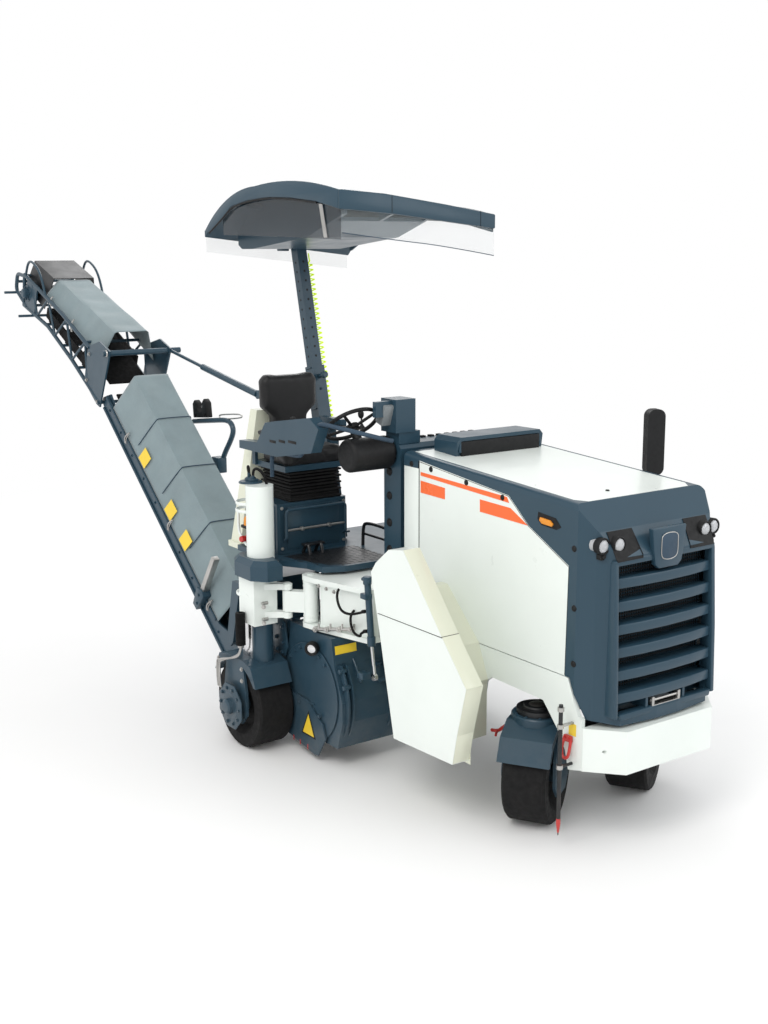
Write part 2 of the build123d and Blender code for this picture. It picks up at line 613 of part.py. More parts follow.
with BuildPart() as arch_liner_right:
    add(side_slab(liner_side, flush_y + fender_t, mid_y - hood_half))
    add(plan_slab(liner_plan, 430, 800))
save(arch_liner_right.part, "arch_liner_right")

left_step_y = mid_y + hood_half + 250
with BuildPart() as fender_left:
    add(side_slab([(rear_axle_x + 760, 430), (rear_axle_x + 1600, 430), (rear_axle_x + 1690, 790),
                   (rear_axle_x + 1600, 1000), (rear_axle_x + 1330, floor_z), (rear_axle_x + 760, floor_z)],
                  mid_y + hood_half, left_step_y))
    for step_z in (560, 830, 1100):
        add(block((rear_axle_x + 860, rear_axle_x + 1200), (left_step_y - 150, left_step_y + 10),
                  (step_z, step_z + 190)), mode=Mode.SUBTRACT)
save(fender_left.part, "fender_left")

# ---------------------------------------------------------------- operator's station
platform_low = body_high
platform_outline = [(body_rear_x, flush_y - 39), (rear_axle_x + 139, flush_y - 39), (rear_axle_x + 320, flush_y + 69),
                    (rear_axle_x + 471, flush_y + 91), (rear_axle_x + 537, flush_y + 227),
                    (rear_axle_x + 560, mid_y - 200), (rear_axle_x + 560, body_left_y), (leg_bay_x, body_left_y),
                    (leg_bay_x, leg_bay_y), (body_rear_x, leg_bay_y)]
with BuildPart() as platform:
    add(plan_slab(platform_outline, platform_low, floor_z))
save(platform.part, "platform")

post_x = (rear_axle_x + 600, hood_rear_x - 45)
post_half = 500.0
with BuildPart() as dash_post:
    add(block(post_x, (mid_y - post_half, mid_y + post_half), (platform_low, 2010)))
    add(block((post_x[0] - 60, post_x[1]), (mid_y - post_half, mid_y + 420), (2010, 2110)))
    chamfer(dash_post.edges().filter_by(Axis.Y).group_by(Axis.Z)[-1], length=28)
save(dash_post.part, "dash_post")

seat_y = mid_y - 655.0
seat_box_front = rear_axle_x + 20
with BuildPart() as seat_box:
    add(block((seat_box_front - 420, seat_box_front), (mid_y - 970, mid_y - 412), (floor_z, 1650)))
    chamfer(seat_box.edges().filter_by(Axis.Z), length=14)
    # hand rail on the front, two bends and a cross bar
    rail_x = seat_box_front + 34
    add(bent_tube([(seat_box_front - 2, mid_y - 925, 1400), (rail_x, mid_y - 925, 1400), (rail_x, mid_y - 925, 1610),
                   (rail_x, mid_y - 447, 1610), (rail_x, mid_y - 447, 1400), (seat_box_front - 2, mid_y - 447, 1400)],
                  11, 26))
save(seat_box.part, "seat_box")

with BuildPart() as seat_bellows:
    for fold in range(5):
        z = 1650 + 42 * fold
        half = 205 - 9 * fold
        with BuildSketch(Plane.XY.offset(z)):
            with Locations((rear_axle_x - 190, seat_y)):
                Rectangle(2 * half - 24, 2 * half)
        extrude(amount=42, taper=14)
save(seat_bellows.part, "seat_bellows")

cushion_low, cushion_high = 1900.0, 2006.0
with BuildPart() as seat_pan:
    add(block((rear_axle_x - 400, rear_axle_x + 10), (seat_y - 246, seat_y + 246), (1860, cushion_low)))
    add(block((rear_axle_x - 440, rear_axle_x - 396), (seat_y - 120, seat_y + 120), (1860, 2120)))
with BuildPart() as seat_cushion:
    add(block((rear_axle_x - 350, rear_axle_x + 30), (seat_y - 245, seat_y + 245), (cushion_low, cushion_high)))
    fillet(seat_cushion.edges().filter_by(Axis.Z), radius=50)
save(seat_cushion.part, "seat_cushion")
with BuildPart() as seat_back:
    with BuildSketch(Plane.YZ.offset(rear_axle_x - 396)):
        with BuildLine():
            Polyline((seat_y - 155, 2010), (seat_y + 155, 2010), (seat_y + 155, 2190), (seat_y + 235, 2270),
                     (seat_y + 235, 2460), (seat_y + 195, 2505), (seat_y - 195, 2505), (seat_y - 235, 2460),
                     (seat_y - 235, 2270), (seat_y - 155, 2190), close=True)
        make_face()
    extrude(amount=90)
save(seat_back.part, "seat_back")

console_y = (flush_y + 0.0, flush_y + 78.0)
console_outline = [(rear_axle_x - 440, 2040), (rear_axle_x - 440, 1985), (rear_axle_x + 60, 1985),
                   (rear_axle_x + 500, 2065), (rear_axle_x + 590, 2230), (rear_axle_x + 480, 2290),
                   (rear_axle_x + 60, 2225), (rear_axle_x - 80, 2200), (rear_axle_x - 190, 2055)]
with BuildPart() as arm_consoles:
    add(side_slab(console_outline, *console_y))
    add(block((rear_axle_x - 396, rear_axle_x - 356), (console_y[1] - 2, seat_y - 246), (1870, 2040)))
    add(block((rear_axle_x - 320, rear_axle_x - 60), (seat_y + 248, seat_y + 300), (2120, 2175)))
    add(block((rear_axle_x - 230, rear_axle_x - 190), (seat_y + 246, seat_y + 300), (1862, 2122)))
save(seat_pan.part + arm_consoles.part, "seat_frame")

wheel_rim_r, wheel_tube_r = 178.0, 13.0
helm = Plane(origin=(rear_axle_x + 545, mid_y - 718, 2235), z_dir=(-0.62, 0.0, 0.78))
pad_x, pad_z, pad_r = rear_axle_x + 650, 2050.0, 108.0
with BuildPart() as steering_wheel:
    with BuildSketch(Plane(origin=helm.origin + helm.x_dir * wheel_rim_r, z_dir=helm.y_dir)):
        Circle(wheel_tube_r)
    revolve(axis=Axis(helm.origin, helm.z_dir))
    add(rod(helm.origin - helm.z_dir * 40, helm.origin - helm.z_dir * 10, 42))
    for spoke in range(4):
        turn = radians(45 + 90 * spoke)
        reach = helm.x_dir * cos(turn) + helm.y_dir * sin(turn)
        add(rod(helm.origin - helm.z_dir * 22 + reach * 30, helm.origin + reach * (wheel_rim_r - 4), 10))
save(steering_wheel.part, "steering_wheel")

with BuildPart() as steering_column:
    add(rod((pad_x, mid_y - 835, pad_z), (pad_x, mid_y - post_half, pad_z), pad_r))
    fillet(steering_column.edges().filter_by(GeomType.CIRCLE), radius=30)
    add(rod(helm.origin - helm.z_dir * 200, helm.origin - helm.z_dir * 40.3, 30))
save(steering_column.part, "steering_column")

with BuildPart() as instrument_boxes:
    # box on the dash, monitor on its arm, and the pod between them
    add(block((post_x[0] + 20, post_x[1] - 20), (mid_y - 498, mid_y - 330), (2110, 2190)))
    add(block((post_x[0] + 10, post_x[1] - 10), (mid_y - 530, mid_y - 375), (2185, 2400)))
    add(block((post_x[0] + 95, post_x[0] + 130), (mid_y - 655, mid_y - 520), (2290, 2390)))
save(instrument_boxes.part, "instrument_boxes")

# white cover column behind the seat
with BuildPart() as rear_cover:
    with BuildSketch(Plane.XY.offset(platform_low)):
        with Locations((body_rear_x - 88, mid_y - 850)):
            Rectangle(140, 320)
    with BuildSketch(Plane.XY.offset(2235)):
        with Locations((body_rear_x - 72, mid_y - 780)):
            Rectangle(90, 130)
    loft()
    add(block((body_rear_x - 170, body_rear_x), (mid_y - 1020, mid_y - 690), (platform_low, floor_z)))
save(rear_cover.part - platform.part - seat_box.part, "rear_cover")

# ---------------------------------------------------------------- canopy on its telescopic mast
lean_dir = Vector(-sin(radians(mast_lean)), 0, cos(radians(mast_lean)))
mast_foot = Vector(mast_base_x, mast_y, floor_z)
mast_plane = Plane(origin=mast_foot, x_dir=(0, 1, 0), z_dir=lean_dir)
mast_length = 2110.0
sleeve_length = 1250.0
sleeve_half, mast_half = 50.0, 40.0
canopy_drop = 620.0
with BuildPart() as mast_sleeve:
    with BuildSketch(mast_plane):
        Rectangle(2 * sleeve_half, 2 * sleeve_half)
        Rectangle(2 * (mast_half + seat_gap), 2 * (mast_half + seat_gap), mode=Mode.SUBTRACT)
    extrude(amount=sleeve_length)
    with BuildSketch(mast_plane.offset(30)):
        Rectangle(2 * sleeve_half + 14, 2 * sleeve_half + 60)
        Rectangle(2 * (mast_half + seat_gap), 2 * (mast_half + seat_gap), mode=Mode.SUBTRACT)
    extrude(amount=14)
mast_sleeve = mast_sleeve.part - block((0, 2000), (-900, 900), (1000, floor_z))
with BuildPart() as mast_inner:
    with BuildSketch(mast_plane.offset(canopy_drop + 60)):
        Rectangle(2 * mast_half, 2 * mast_half)
    extrude(amount=mast_length - canopy_drop - 60)
save(mast_inner.part, "mast_inner")

canopy_right, canopy_left = mid_y - 1000, mid_y + 205
canopy_fall = 132.0        # the roof falls this much to the left


def arch(x_offset, z_offset):
    """Points of one arched roof line: rear end, crown and front end, with the two arcs' middles."""
    line = [(-860, 3470), (-560, 3662), (-150, 3748), (350, 3760), (842, 3690)]
    return [(rear_axle_x + x + x_offset, z + z_offset) for x, z in line]


roof_t = 42.0
canopy_run = Vector(0, canopy_left - canopy_right, -canopy_fall)
with BuildPart() as canopy_roof:
    with BuildSketch(Plane.XZ.offset(-canopy_right)):
        with BuildLine():
            top = arch(0, 0)
            low = arch(0, -roof_t)
            ThreePointArc(*top[:3])
            ThreePointArc(*top[2:])
            Line(top[4], low[4])
            ThreePointArc(*low[:3])
            ThreePointArc(*low[2:])
            Line(top[0], low[0])
        make_face()
    extrude(amount=canopy_run.length, dir=canopy_run.normalized())
save(canopy_roof.part, "canopy_roof")
with BuildPart() as over_roof:
    with BuildSketch(Plane.XZ.offset(-canopy_right)):
        with BuildLine():
            ThreePointArc(*low[:3])
            ThreePointArc(*low[2:])
            Polyline(low[4], (low[4][0] + 200, low[4][1]), (low[4][0] + 200, 4200), (low[0][0] - 200, 4200),
                     (low[0][0] - 200, low[0][1]), low[0])
        make_face()
    extrude(amount=canopy_run.length, dir=canopy_run.normalized())

skirt_thin = 6.0
with BuildPart() as canopy_skirts:
    front_x = rear_axle_x + 842
    add(cross_slab([(canopy_right + 20, 3645), (canopy_left, 3510), (canopy_left, 3300), (mid_y - 230, 3361),
                    (mid_y - 620, 3398), (canopy_right + 20, 3440)], front_x + 0.0, front_x + skirt_thin))
    rear_x = rear_axle_x - 860 - skirt_thin
    add(cross_slab([(canopy_right + 10, 3455), (canopy_left - 10, 3325), (canopy_left - 10, 3200), (canopy_right + 10, 3325)],
                   rear_x, rear_x + skirt_thin))
canopy_skirts = canopy_skirts.part
save(canopy_skirts, "canopy_skirts")

mast_head = mast_foot + lean_dir * mast_length
frame_low = [(-790, 3372), (-740, 3345), (-600, 3345), (120, 3420), (430, 3520)]
with BuildPart() as canopy_frame:
    for rib_y in (mid_y - 760, mid_y - 400, mid_y - 52):
        add(side_slab([(rear_axle_x + x, z) for x, z in frame_low] + [(rear_axle_x + 560, 3560),
                      (rear_axle_x + 560, 4000), (rear_axle_x - 790, 4000)], rib_y - 14, rib_y + 14))
    add(side_slab([(rear_axle_x + x, z) for x, z in frame_low]
                  + [(rear_axle_x + x, z + 24) for x, z in reversed(frame_low)], mid_y - 760, mid_y - 52))
canopy_frame = canopy_frame.part - over_roof.part - mast_inner.part
save(canopy_frame, "canopy_frame")

# yellow-green curly cable from the canopy to the console behind the seat
cable_r = 19.0
cable_side = 78.0
cable_top = mast_head + Vector(0, cable_side, 0) - lean_dir * 42
cable_foot = mast_foot + lean_dir * 700 + Vector(0, cable_side, 0)
save(rod(cable_foot, cable_top, cable_r), "curly_cable")
with BuildPart() as cable_socket:
    add(block((cable_foot.X - 26, cable_foot.X + 26), (mast_y + sleeve_half + 0.0, mast_y + cable_side + 26),
              (cable_foot.Z - 40, cable_foot.Z + 14)))
save(mast_sleeve + (cable_socket.part - rod(cable_foot, cable_top, cable_r + seat_gap)), "mast_sleeve")

# mirror on its tube, left side, and the depth rod at the right front
mirror_x, mirror_y = rear_axle_x + 1790, mid_y + 750
with BuildPart() as mirror:
    add(bent_tube([(rear_axle_x + 1290, left_step_y - 60, floor_z), (rear_axle_x + 1290, left_step_y - 60, 1700),
                   (mirror_x, mirror_y - 10, 1900), (mirror_x, mirror_y - 10, 2010)], 14, 60))
    with BuildSketch(Plane(origin=(mirror_x + 4, mirror_y, 2140), x_dir=(0.35, 0.94, 0), z_dir=(0.94, -0.35, 0))):
        RectangleRounded(118, 420, 46)
    extrude(amount=34, both=True)
mirror = mirror.part
save(mirror, "mirror")

rod_x, rod_y = rear_axle_x + 2430, mid_y - 600
with BuildPart() as depth_rod:
    add(rod((rod_x, rod_y, 190), (rod_x, rod_y, 867), 12))
    add(rod((rod_x, rod_y, 500), (rod_x, mid_y - hood_half, 500), 9))
    with BuildSketch(Plane(origin=(rod_x, rod_y, 92), z_dir=(0, 0, 1))):
        Circle(3)
    with BuildSketch(Plane(origin=(rod_x, rod_y, 190), z_dir=(0, 0, 1))):
        Circle(12)
    loft()
save(depth_rod.part, "depth_rod")

# ---------------------------------------------------------------- loading conveyor
belt_cos, belt_sin = cos(radians(belt_angle)), sin(radians(belt_angle))


def on_lower(s, h):
    """X and Z of a point on the lower conveyor: distance up its side rail and height above it."""
    return (belt_x - s * belt_cos + h * belt_sin, belt_z + s * belt_sin + h * belt_cos)


fold_pin = on_lower(fold_s, 0)
upper_angle = 25.0
upper_cos, upper_sin = cos(radians(upper_angle)), sin(radians(upper_angle))


def on_upper(s, h):
    """X and Z of a point on the folding upper conveyor, from the fold pin."""
    return (fold_pin[0] - s * upper_cos + h * upper_sin, fold_pin[1] + s * upper_sin + h * upper_cos)


belt_low_y, belt_high_y = belt_y - belt_half, belt_y + belt_half
side_t = 14.0
slew_x = rear_axle_x - 390
tail_x = slew_x - 100
pitch_pin = on_lower(170, 210)
yoke_gap = 8.0
yoke_y = (belt_low_y - yoke_gap - 22, belt_high_y + yoke_gap + 22)
yoke_top = 1010.0


def lower_lines(points):
    """Outline on the lower conveyor, cut upright at the tail."""
    return [on_lower(*point) for point in points]


lower_side = lower_lines([(0, 0), (fold_s - 40, 0), (fold_s - 40, 120), (380, 120), (140, 250), (0, 250)])
tail_box = block((tail_x, tail_x + 900), (belt_low_y - 90, belt_high_y + 90), (0, 1500))
with BuildPart() as conveyor_lower:
    for low in (belt_low_y, belt_high_y - side_t):
        add(side_slab(lower_side, low, low + side_t))
    add(side_slab(lower_lines([(0, 0), (fold_s - 60, 0), (fold_s - 60, 12), (0, 12)]), belt_low_y, belt_high_y))
    for station in range(300, 2700, 400):
        centre = on_lower(station, 104)
        add(rod((centre[0], belt_low_y + side_t, centre[1]), (centre[0], belt_high_y - side_t, centre[1]), 13))
        add(rod((centre[0], belt_low_y + 24, centre[1]), (centre[0], belt_high_y - 24, centre[1]), 28))
    for low in (belt_low_y - 0.0, belt_high_y - side_t):
        add(rod((pitch_pin[0], low, pitch_pin[1]), (pitch_pin[0], low + side_t, pitch_pin[1]), 60))
    # pin bosses outwards into the yoke
    add(rod((pitch_pin[0], belt_low_y - yoke_gap - 22, pitch_pin[1]), (pitch_pin[0], belt_low_y, pitch_pin[1]), 22))
    add(rod((pitch_pin[0], belt_high_y, pitch_pin[1]), (pitch_pin[0], belt_high_y + yoke_gap + 22, pitch_pin[1]), 22))
    # fold hinge lugs at the upper end
    for low in (belt_low_y + side_t + 6, belt_high_y - side_t - 6 - side_t):
        add(side_slab([on_lower(fold_s - 260, 0), on_lower(fold_s - 20, -34), on_lower(fold_s + 34, -20),
                       on_lower(fold_s + 34, 26), on_lower(fold_s - 60, 150), on_lower(fold_s - 260, 110)],
                      low, low + side_t))
    for low in (belt_low_y + side_t, belt_high_y - side_t - 6):
        add(side_slab([on_lower(fold_s - 200, 20), on_lower(fold_s - 90, 20), on_lower(fold_s - 90, 90),
                       on_lower(fold_s - 200, 90)], low, low + 6))
    add(rod((fold_pin[0], belt_low_y - 40, fold_pin[1]), (fold_pin[0], belt_high_y + 40, fold_pin[1]), 14))
conveyor_lower = conveyor_lower.part - tail_box
save(conveyor_lower, "conveyor_lower")

belt_edge = 175.0
with BuildPart() as belt_lower:
    add(side_slab(lower_lines([(240, 132), (fold_s - 60, 132), (fold_s - 60, 148), (240, 148)]),
                  belt_y - belt_edge, belt_y + belt_edge))
belt_lower = belt_lower.part - conveyor_lower - tail_box
save(belt_lower, "belt_lower")

cover_wall = 12.0
cover_height, cover_top_half = 485.0, 150.0
cover_start, cover_end = 400.0, 2660.0


def tunnel(point, start, end, foot_h, height_start, height_end, top_half, foot_half, wall):
    """Tent-shaped cover over a belt, open below and at both ends."""
    with BuildPart() as piece:
        for s, height in ((start, height_start), (end, height_end)):
            origin = point(s, 0)
            above = point(s, 1)
            up = Vector(above[0] - origin[0], 0, above[1] - origin[1])
            with BuildSketch(Plane(origin=(origin[0], belt_y, origin[1]), x_dir=(0, 1, 0),
                                   z_dir=Vector(0, 1, 0).cross(up))):
                with BuildLine():
                    Polyline((-foot_half, foot_h), (-top_half, height), (top_half, height), (foot_half, foot_h),
                             (foot_half - wall, foot_h), (top_half - wall + 3, height - wall),
                             (-top_half + wall - 3, height - wall), (-foot_half + wall, foot_h), close=True)
                make_face()
        loft(ruled=True)
    return piece.part


cover_lower = tunnel(on_lower, cover_start, cover_end, 120, cover_height, cover_height,
                     cover_top_half, belt_half, cover_wall)
cover_lower -= tail_box
save(cover_lower, "cover_lower")

# upper section: lattice sides, belt, cover, head hood and fold plates with their cross tube
upper_bottom = [(0, 0), (635, 56), (1229, 73), (1831, -17)]
upper_top = [(330, 345), (953, 336), (1896, 263)]
bow_line = [(1760, 0), (2060, 30), (2070, 190), (1840, 268)]
chord_r = 17.0
plate_t = 14.0


def upper_point(s, h, y):
    x, z = on_upper(s, h)
    return (x, y, z)


with BuildPart() as conveyor_upper:
    for y in (belt_low_y - chord_r - 6, belt_high_y + chord_r + 6):
        add(bent_tube([upper_point(s, h, y) for s, h in upper_bottom], chord_r, 150))
        add(bent_tube([upper_point(s, h, y) for s, h in upper_top], chord_r, 150))
        for (s0, h0), (s1, h1) in (((260, 30), (430, 343)), ((430, 343), (640, 56)), ((640, 56), (860, 337)),
                                   ((860, 337), (1060, 70)), ((1060, 70), (1300, 310)), ((1300, 310), (1500, 40)),
                                   ((1500, 40), (1700, 280))):
            add(rod(upper_point(s0, h0, y), upper_point(s1, h1, y), 11))
        add(rod(upper_point(*upper_bottom[-1], y), upper_point(*upper_top[-1], y), chord_r))
        # guard bow round the head
        add(bent_tube([upper_point(s, h, y) for s, h in bow_line], chord_r, 60))
        # fold plate, from the pin up to the cross tube
        add(side_slab([on_upper(-32, -26), on_upper(36, -34), on_upper(330, 20), on_upper(350, 345),
                       on_upper(150, 500), on_upper(-60, 520), on_upper(-60, 440)], y - plate_t / 2, y + plate_t / 2))
    for s, h in ((500, 57), (900, 57), (1300, 57), (1800, -8), (1880, 262), (430, 343), (2066, 110)):
        add(rod(upper_point(s, h, belt_low_y - chord_r - 6), upper_point(s, h, belt_high_y + chord_r + 6), 13))
    add(rod(upper_point(-20, 480, belt_low_y - 70), upper_point(-20, 480, belt_high_y + 130), 24))
    # head drum
    add(rod(upper_point(1760, 140, belt_low_y - 30), upper_point(1760, 140, belt_high_y + 30), 70))
    for y in (belt_low_y - 30, belt_high_y + 16):
        add(side_slab([on_upper(s, h) for s, h in ((1560, 20), (1800, -16), (1800, 270), (1560, 290))], y, y + plate_t))
pin_hole = rod((fold_pin[0], belt_low_y - 60, fold_pin[1]), (fold_pin[0], belt_high_y + 60, fold_pin[1]), 14 + seat_gap)
conveyor_upper = conveyor_upper.part - pin_hole
save(conveyor_upper, "conveyor_upper")

with BuildPart() as belt_upper:
    add(side_slab([on_upper(s, h) for s, h in ((60, 150), (900, 214), (1690, 176), (1690, 160), (900, 198), (60, 134))],
                  belt_y - belt_edge, belt_y + belt_edge))
    # skirt boards beside the belt, on cross bars under it
    for low in (belt_low_y + 12, belt_high_y - 26):
        add(side_slab([on_upper(s, h) for s, h in ((420, 90), (1380, 90), (1380, 184), (420, 184))], low, low + 14))
    for s in (500, 900, 1300):
        add(side_slab([on_upper(s - 25, 70), on_upper(s + 25, 70), on_upper(s + 25, 205), on_upper(s - 25, 205)],
                      belt_low_y + 18, belt_high_y - 18))
save(belt_upper.part, "belt_upper")

cover_upper = tunnel(on_upper, 150, 1420, 345 - 60, 585, 440, 150, belt_half - 4, cover_wall)
cover_upper -= conveyor_upper
save(cover_upper, "cover_upper")

with BuildPart() as head_hood:
    add(tunnel(on_upper, 1420 + 2, 1900, 150, 452, 400, 190, belt_half - 2, 8))
head_hood = head_hood.part - conveyor_upper
save(head_hood, "head_hood")

# slewing yoke: disc under the machine's shelf, arms down both sides of the tail
with BuildPart() as slew_yoke:
    add(plan_slab([(slew_x - 150, yoke_y[0]), (slew_x + 70, yoke_y[0] + 90), (slew_x + 70, yoke_y[1] - 90),
                   (slew_x - 150, yoke_y[1])], yoke_top - 30, yoke_top))
    with Locations((slew_x, belt_y, yoke_top + 20)):
        Cylinder(90, 40)
    for low in (yoke_y[0], yoke_y[1] - 22):
        add(side_slab([(slew_x - 150, yoke_top), (slew_x - 40, yoke_top), (pitch_pin[0] + 44, pitch_pin[1] - 10),
                       (pitch_pin[0], pitch_pin[1] - 48), (pitch_pin[0] - 44, pitch_pin[1] - 10)], low, low + 22))
    for low in (yoke_y[0] - 1, yoke_y[1] - 23):
        add(rod((pitch_pin[0], low, pitch_pin[1]), (pitch_pin[0], low + 24, pitch_pin[1]), 22 + seat_gap),
            mode=Mode.SUBTRACT)
save(slew_yoke.part, "slew_yoke")

with BuildPart() as slew_shelf:
    add(plan_slab([(slew_x - 100, belt_y - 100), (chute_x[0] + 60, chute_y[0]), (chute_x[0] + 140, chute_y[0]),
                   (chute_x[0] + 140, chute_y[1]), (chute_x[0] + 60, chute_y[1]), (slew_x - 100, belt_y + 100)],
                  yoke_top + 40 + seat_gap, yoke_top + 80))
    add(block((chute_x[0] + 60, chute_x[0] + 140), chute_y, (roof_z, yoke_top + 60)))
save(drum_housing.part + slew_shelf.part, "drum_housing")

# ram from the fold plates' cross tube towards the machine, with its chain eye
ram_y = belt_high_y + 40
ram_eye = (rear_axle_x - 1120, ram_y, 2262)
ram_collar = (rear_axle_x - 2000, ram_y, 2405)
with BuildPart() as conveyor_ram:
    add(rod(ram_collar, ram_eye, 26))
    add(rod(upper_point(-20, 480, ram_y), ram_collar, 14))
    add(rod((ram_eye[0] + 20, ram_y - 14, ram_eye[2]), (ram_eye[0] + 20, ram_y + 14, ram_eye[2]), 34))
save(conveyor_ram.part - conveyor_upper, "conveyor_ram")
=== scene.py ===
"""Looks of the compact cold planer: paint, rubber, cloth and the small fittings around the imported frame."""
from math import cos, pi, radians, sin, sqrt

import bmesh
import bpy
from mathutils import Matrix, Vector


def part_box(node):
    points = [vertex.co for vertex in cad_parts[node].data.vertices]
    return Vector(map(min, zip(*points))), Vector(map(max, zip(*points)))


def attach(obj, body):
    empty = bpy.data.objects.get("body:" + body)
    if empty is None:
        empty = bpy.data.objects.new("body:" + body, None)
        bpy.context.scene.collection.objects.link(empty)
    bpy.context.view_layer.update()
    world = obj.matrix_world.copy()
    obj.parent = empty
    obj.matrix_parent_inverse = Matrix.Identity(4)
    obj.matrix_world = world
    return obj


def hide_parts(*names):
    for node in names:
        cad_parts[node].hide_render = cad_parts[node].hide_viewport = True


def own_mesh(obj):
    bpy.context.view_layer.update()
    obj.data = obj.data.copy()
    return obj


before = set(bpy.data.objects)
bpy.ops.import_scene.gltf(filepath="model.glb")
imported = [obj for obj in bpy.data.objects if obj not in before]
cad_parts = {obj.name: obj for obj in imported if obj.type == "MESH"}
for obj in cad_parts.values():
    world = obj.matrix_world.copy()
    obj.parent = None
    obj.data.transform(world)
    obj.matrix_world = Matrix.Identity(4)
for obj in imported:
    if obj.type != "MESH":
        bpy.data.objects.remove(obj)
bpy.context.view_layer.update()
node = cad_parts

# the machine's own datum: rear axle line, hood centre plane, ground
REAR_X, MID_Y = 0.952, 0.256


def at(x, y, z):
    """A point given from the rear axle, the hood's centre plane and the ground."""
    return Vector((REAR_X + x, MID_Y + y, z))


# ---------------------------------------------------------------- camera
azimuth, elevation, roll = radians(54.551), radians(11.144), radians(-0.146)
back = Vector((sin(azimuth) * cos(elevation), -cos(azimuth) * cos(elevation), sin(elevation)))
right = Vector((cos(azimuth), sin(azimuth), 0))
up = back.cross(right)
turn = Matrix((right, up, back)).transposed().to_4x4() @ Matrix.Rotation(roll, 4, "Z")
camera_data = bpy.data.cameras.new("camera")
FOCAL, SENSOR, FRAME_HEIGHT = 1283.5, 36, 1024        # focal length in units of the frame, sensor in mm
camera_data.lens = FOCAL * SENSOR / FRAME_HEIGHT
camera_data.shift_x = -0.0035
camera_data.shift_y = -0.0108
camera_data.clip_end = 100
camera = bpy.data.objects.new("camera", camera_data)
camera.matrix_world = Matrix.Translation(at(7.375, -5.296, 3.349)) @ turn
bpy.context.scene.collection.objects.link(camera)
bpy.context.scene.camera = camera

# ---------------------------------------------------------------- curly cable
CABLE_TURNS, CABLE_WIRE = 36, 0.0092
MAST_LEAN = 13.2          # degrees, backwards


def spline_curve(name, points, radius, order=3, resolution=8):
    """A round tube along one smooth NURBS spline."""
    data = bpy.data.curves.new(name, "CURVE")
    data.dimensions = "3D"
    data.bevel_depth = radius
    data.bevel_resolution = 3
    data.resolution_u = resolution
    data.use_fill_caps = True
    spline = data.splines.new("NURBS")
    spline.points.add(len(points) - 1)
    for place, point in zip(spline.points, points):
        place.co = (*point, 1)
    spline.order_u = order
    spline.use_endpoint_u = True
    piece = bpy.data.objects.new(name, data)
    bpy.context.scene.collection.objects.link(piece)
    return piece


low_corner, high_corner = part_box("curly_cable")
lean = radians(MAST_LEAN)
cable_radius = (high_corner.y - low_corner.y) / 2
cable_foot = Vector((high_corner.x - cable_radius * cos(lean), (low_corner.y + high_corner.y) / 2,
                     low_corner.z + cable_radius * sin(lean)))
cable_head = Vector((low_corner.x + cable_radius * cos(lean), cable_foot.y, high_corner.z - cable_radius * sin(lean)))
cable_run = cable_head - cable_foot
cable_side = Vector((0, 1, 0))
cable_fore = cable_run.normalized().cross(cable_side)
helix_r = cable_radius - 0.0008
helix_steps = 12


def helix_points():
    points = [cable_foot, cable_foot + cable_run * 0.02]
    total = CABLE_TURNS * helix_steps
    for step in range(total + 1):
        angle = 2 * pi * step / helix_steps
        along = 0.035 + 0.93 * step / total
        grow = min(1.0, step / helix_steps, (total - step) / helix_steps)
        reach = helix_r * grow
        points.append(cable_foot + cable_run * along + (cable_side * cos(angle) + cable_fore * sin(angle)) * reach)
    return points + [cable_foot + cable_run * 0.98, cable_head]


# the cord is a mesh; its path is the bare spline
cord_route = spline_curve("curly_route", helix_points(), 0, resolution=2)
route_mesh = bpy.data.meshes.new_from_object(cord_route)
cord_route.data.bevel_depth = CABLE_WIRE / 2
cord_route.data.bevel_resolution = 2
curly = bpy.data.objects.new("curly_cord", bpy.data.meshes.new_from_object(cord_route))
bpy.context.scene.collection.objects.link(curly)
bpy.data.objects.remove(cord_route)
bpy.data.meshes.remove(route_mesh)
for polygon in curly.data.polygons:
    polygon.use_smooth = True

# ---------------------------------------------------------------- light and floor


def area_light(name, place, target, size, power, tint=(1, 1, 1)):
    data = bpy.data.lights.new(name, "AREA")
    data.shape = "DISK"
    data.size = size
    data.energy = power
    data.color = tint
    lamp = bpy.data.objects.new(name, data)
    lamp.location = place
    lamp.rotation_euler = (Vector(target) - Vector(place)).to_track_quat("-Z", "Y").to_euler()
    bpy.context.scene.collection.objects.link(lamp)


area_light("key", (5.5, -6.5, 8.5), (0, 0, 1.2), 5.0, 330, (1, 0.98, 0.95))
area_light("fill", (8.5, 4.5, 4.5), (0.5, 0, 1.2), 5.0, 110, (0.95, 0.98, 1))
area_light("rim", (-7.0, 4.0, 7.0), (0, 0, 1.2), 5.0, 160)
world = bpy.data.worlds.new("studio")
world.use_nodes = True
world.node_tree.nodes["Background"].inputs["Color"].default_value = (1, 1, 1, 1)
world.node_tree.nodes["Background"].inputs["Strength"].default_value = 1.0
bpy.context.scene.world = world
bpy.context.scene.view_settings.view_transform = "Standard"

# ---------------------------------------------------------------- finishes


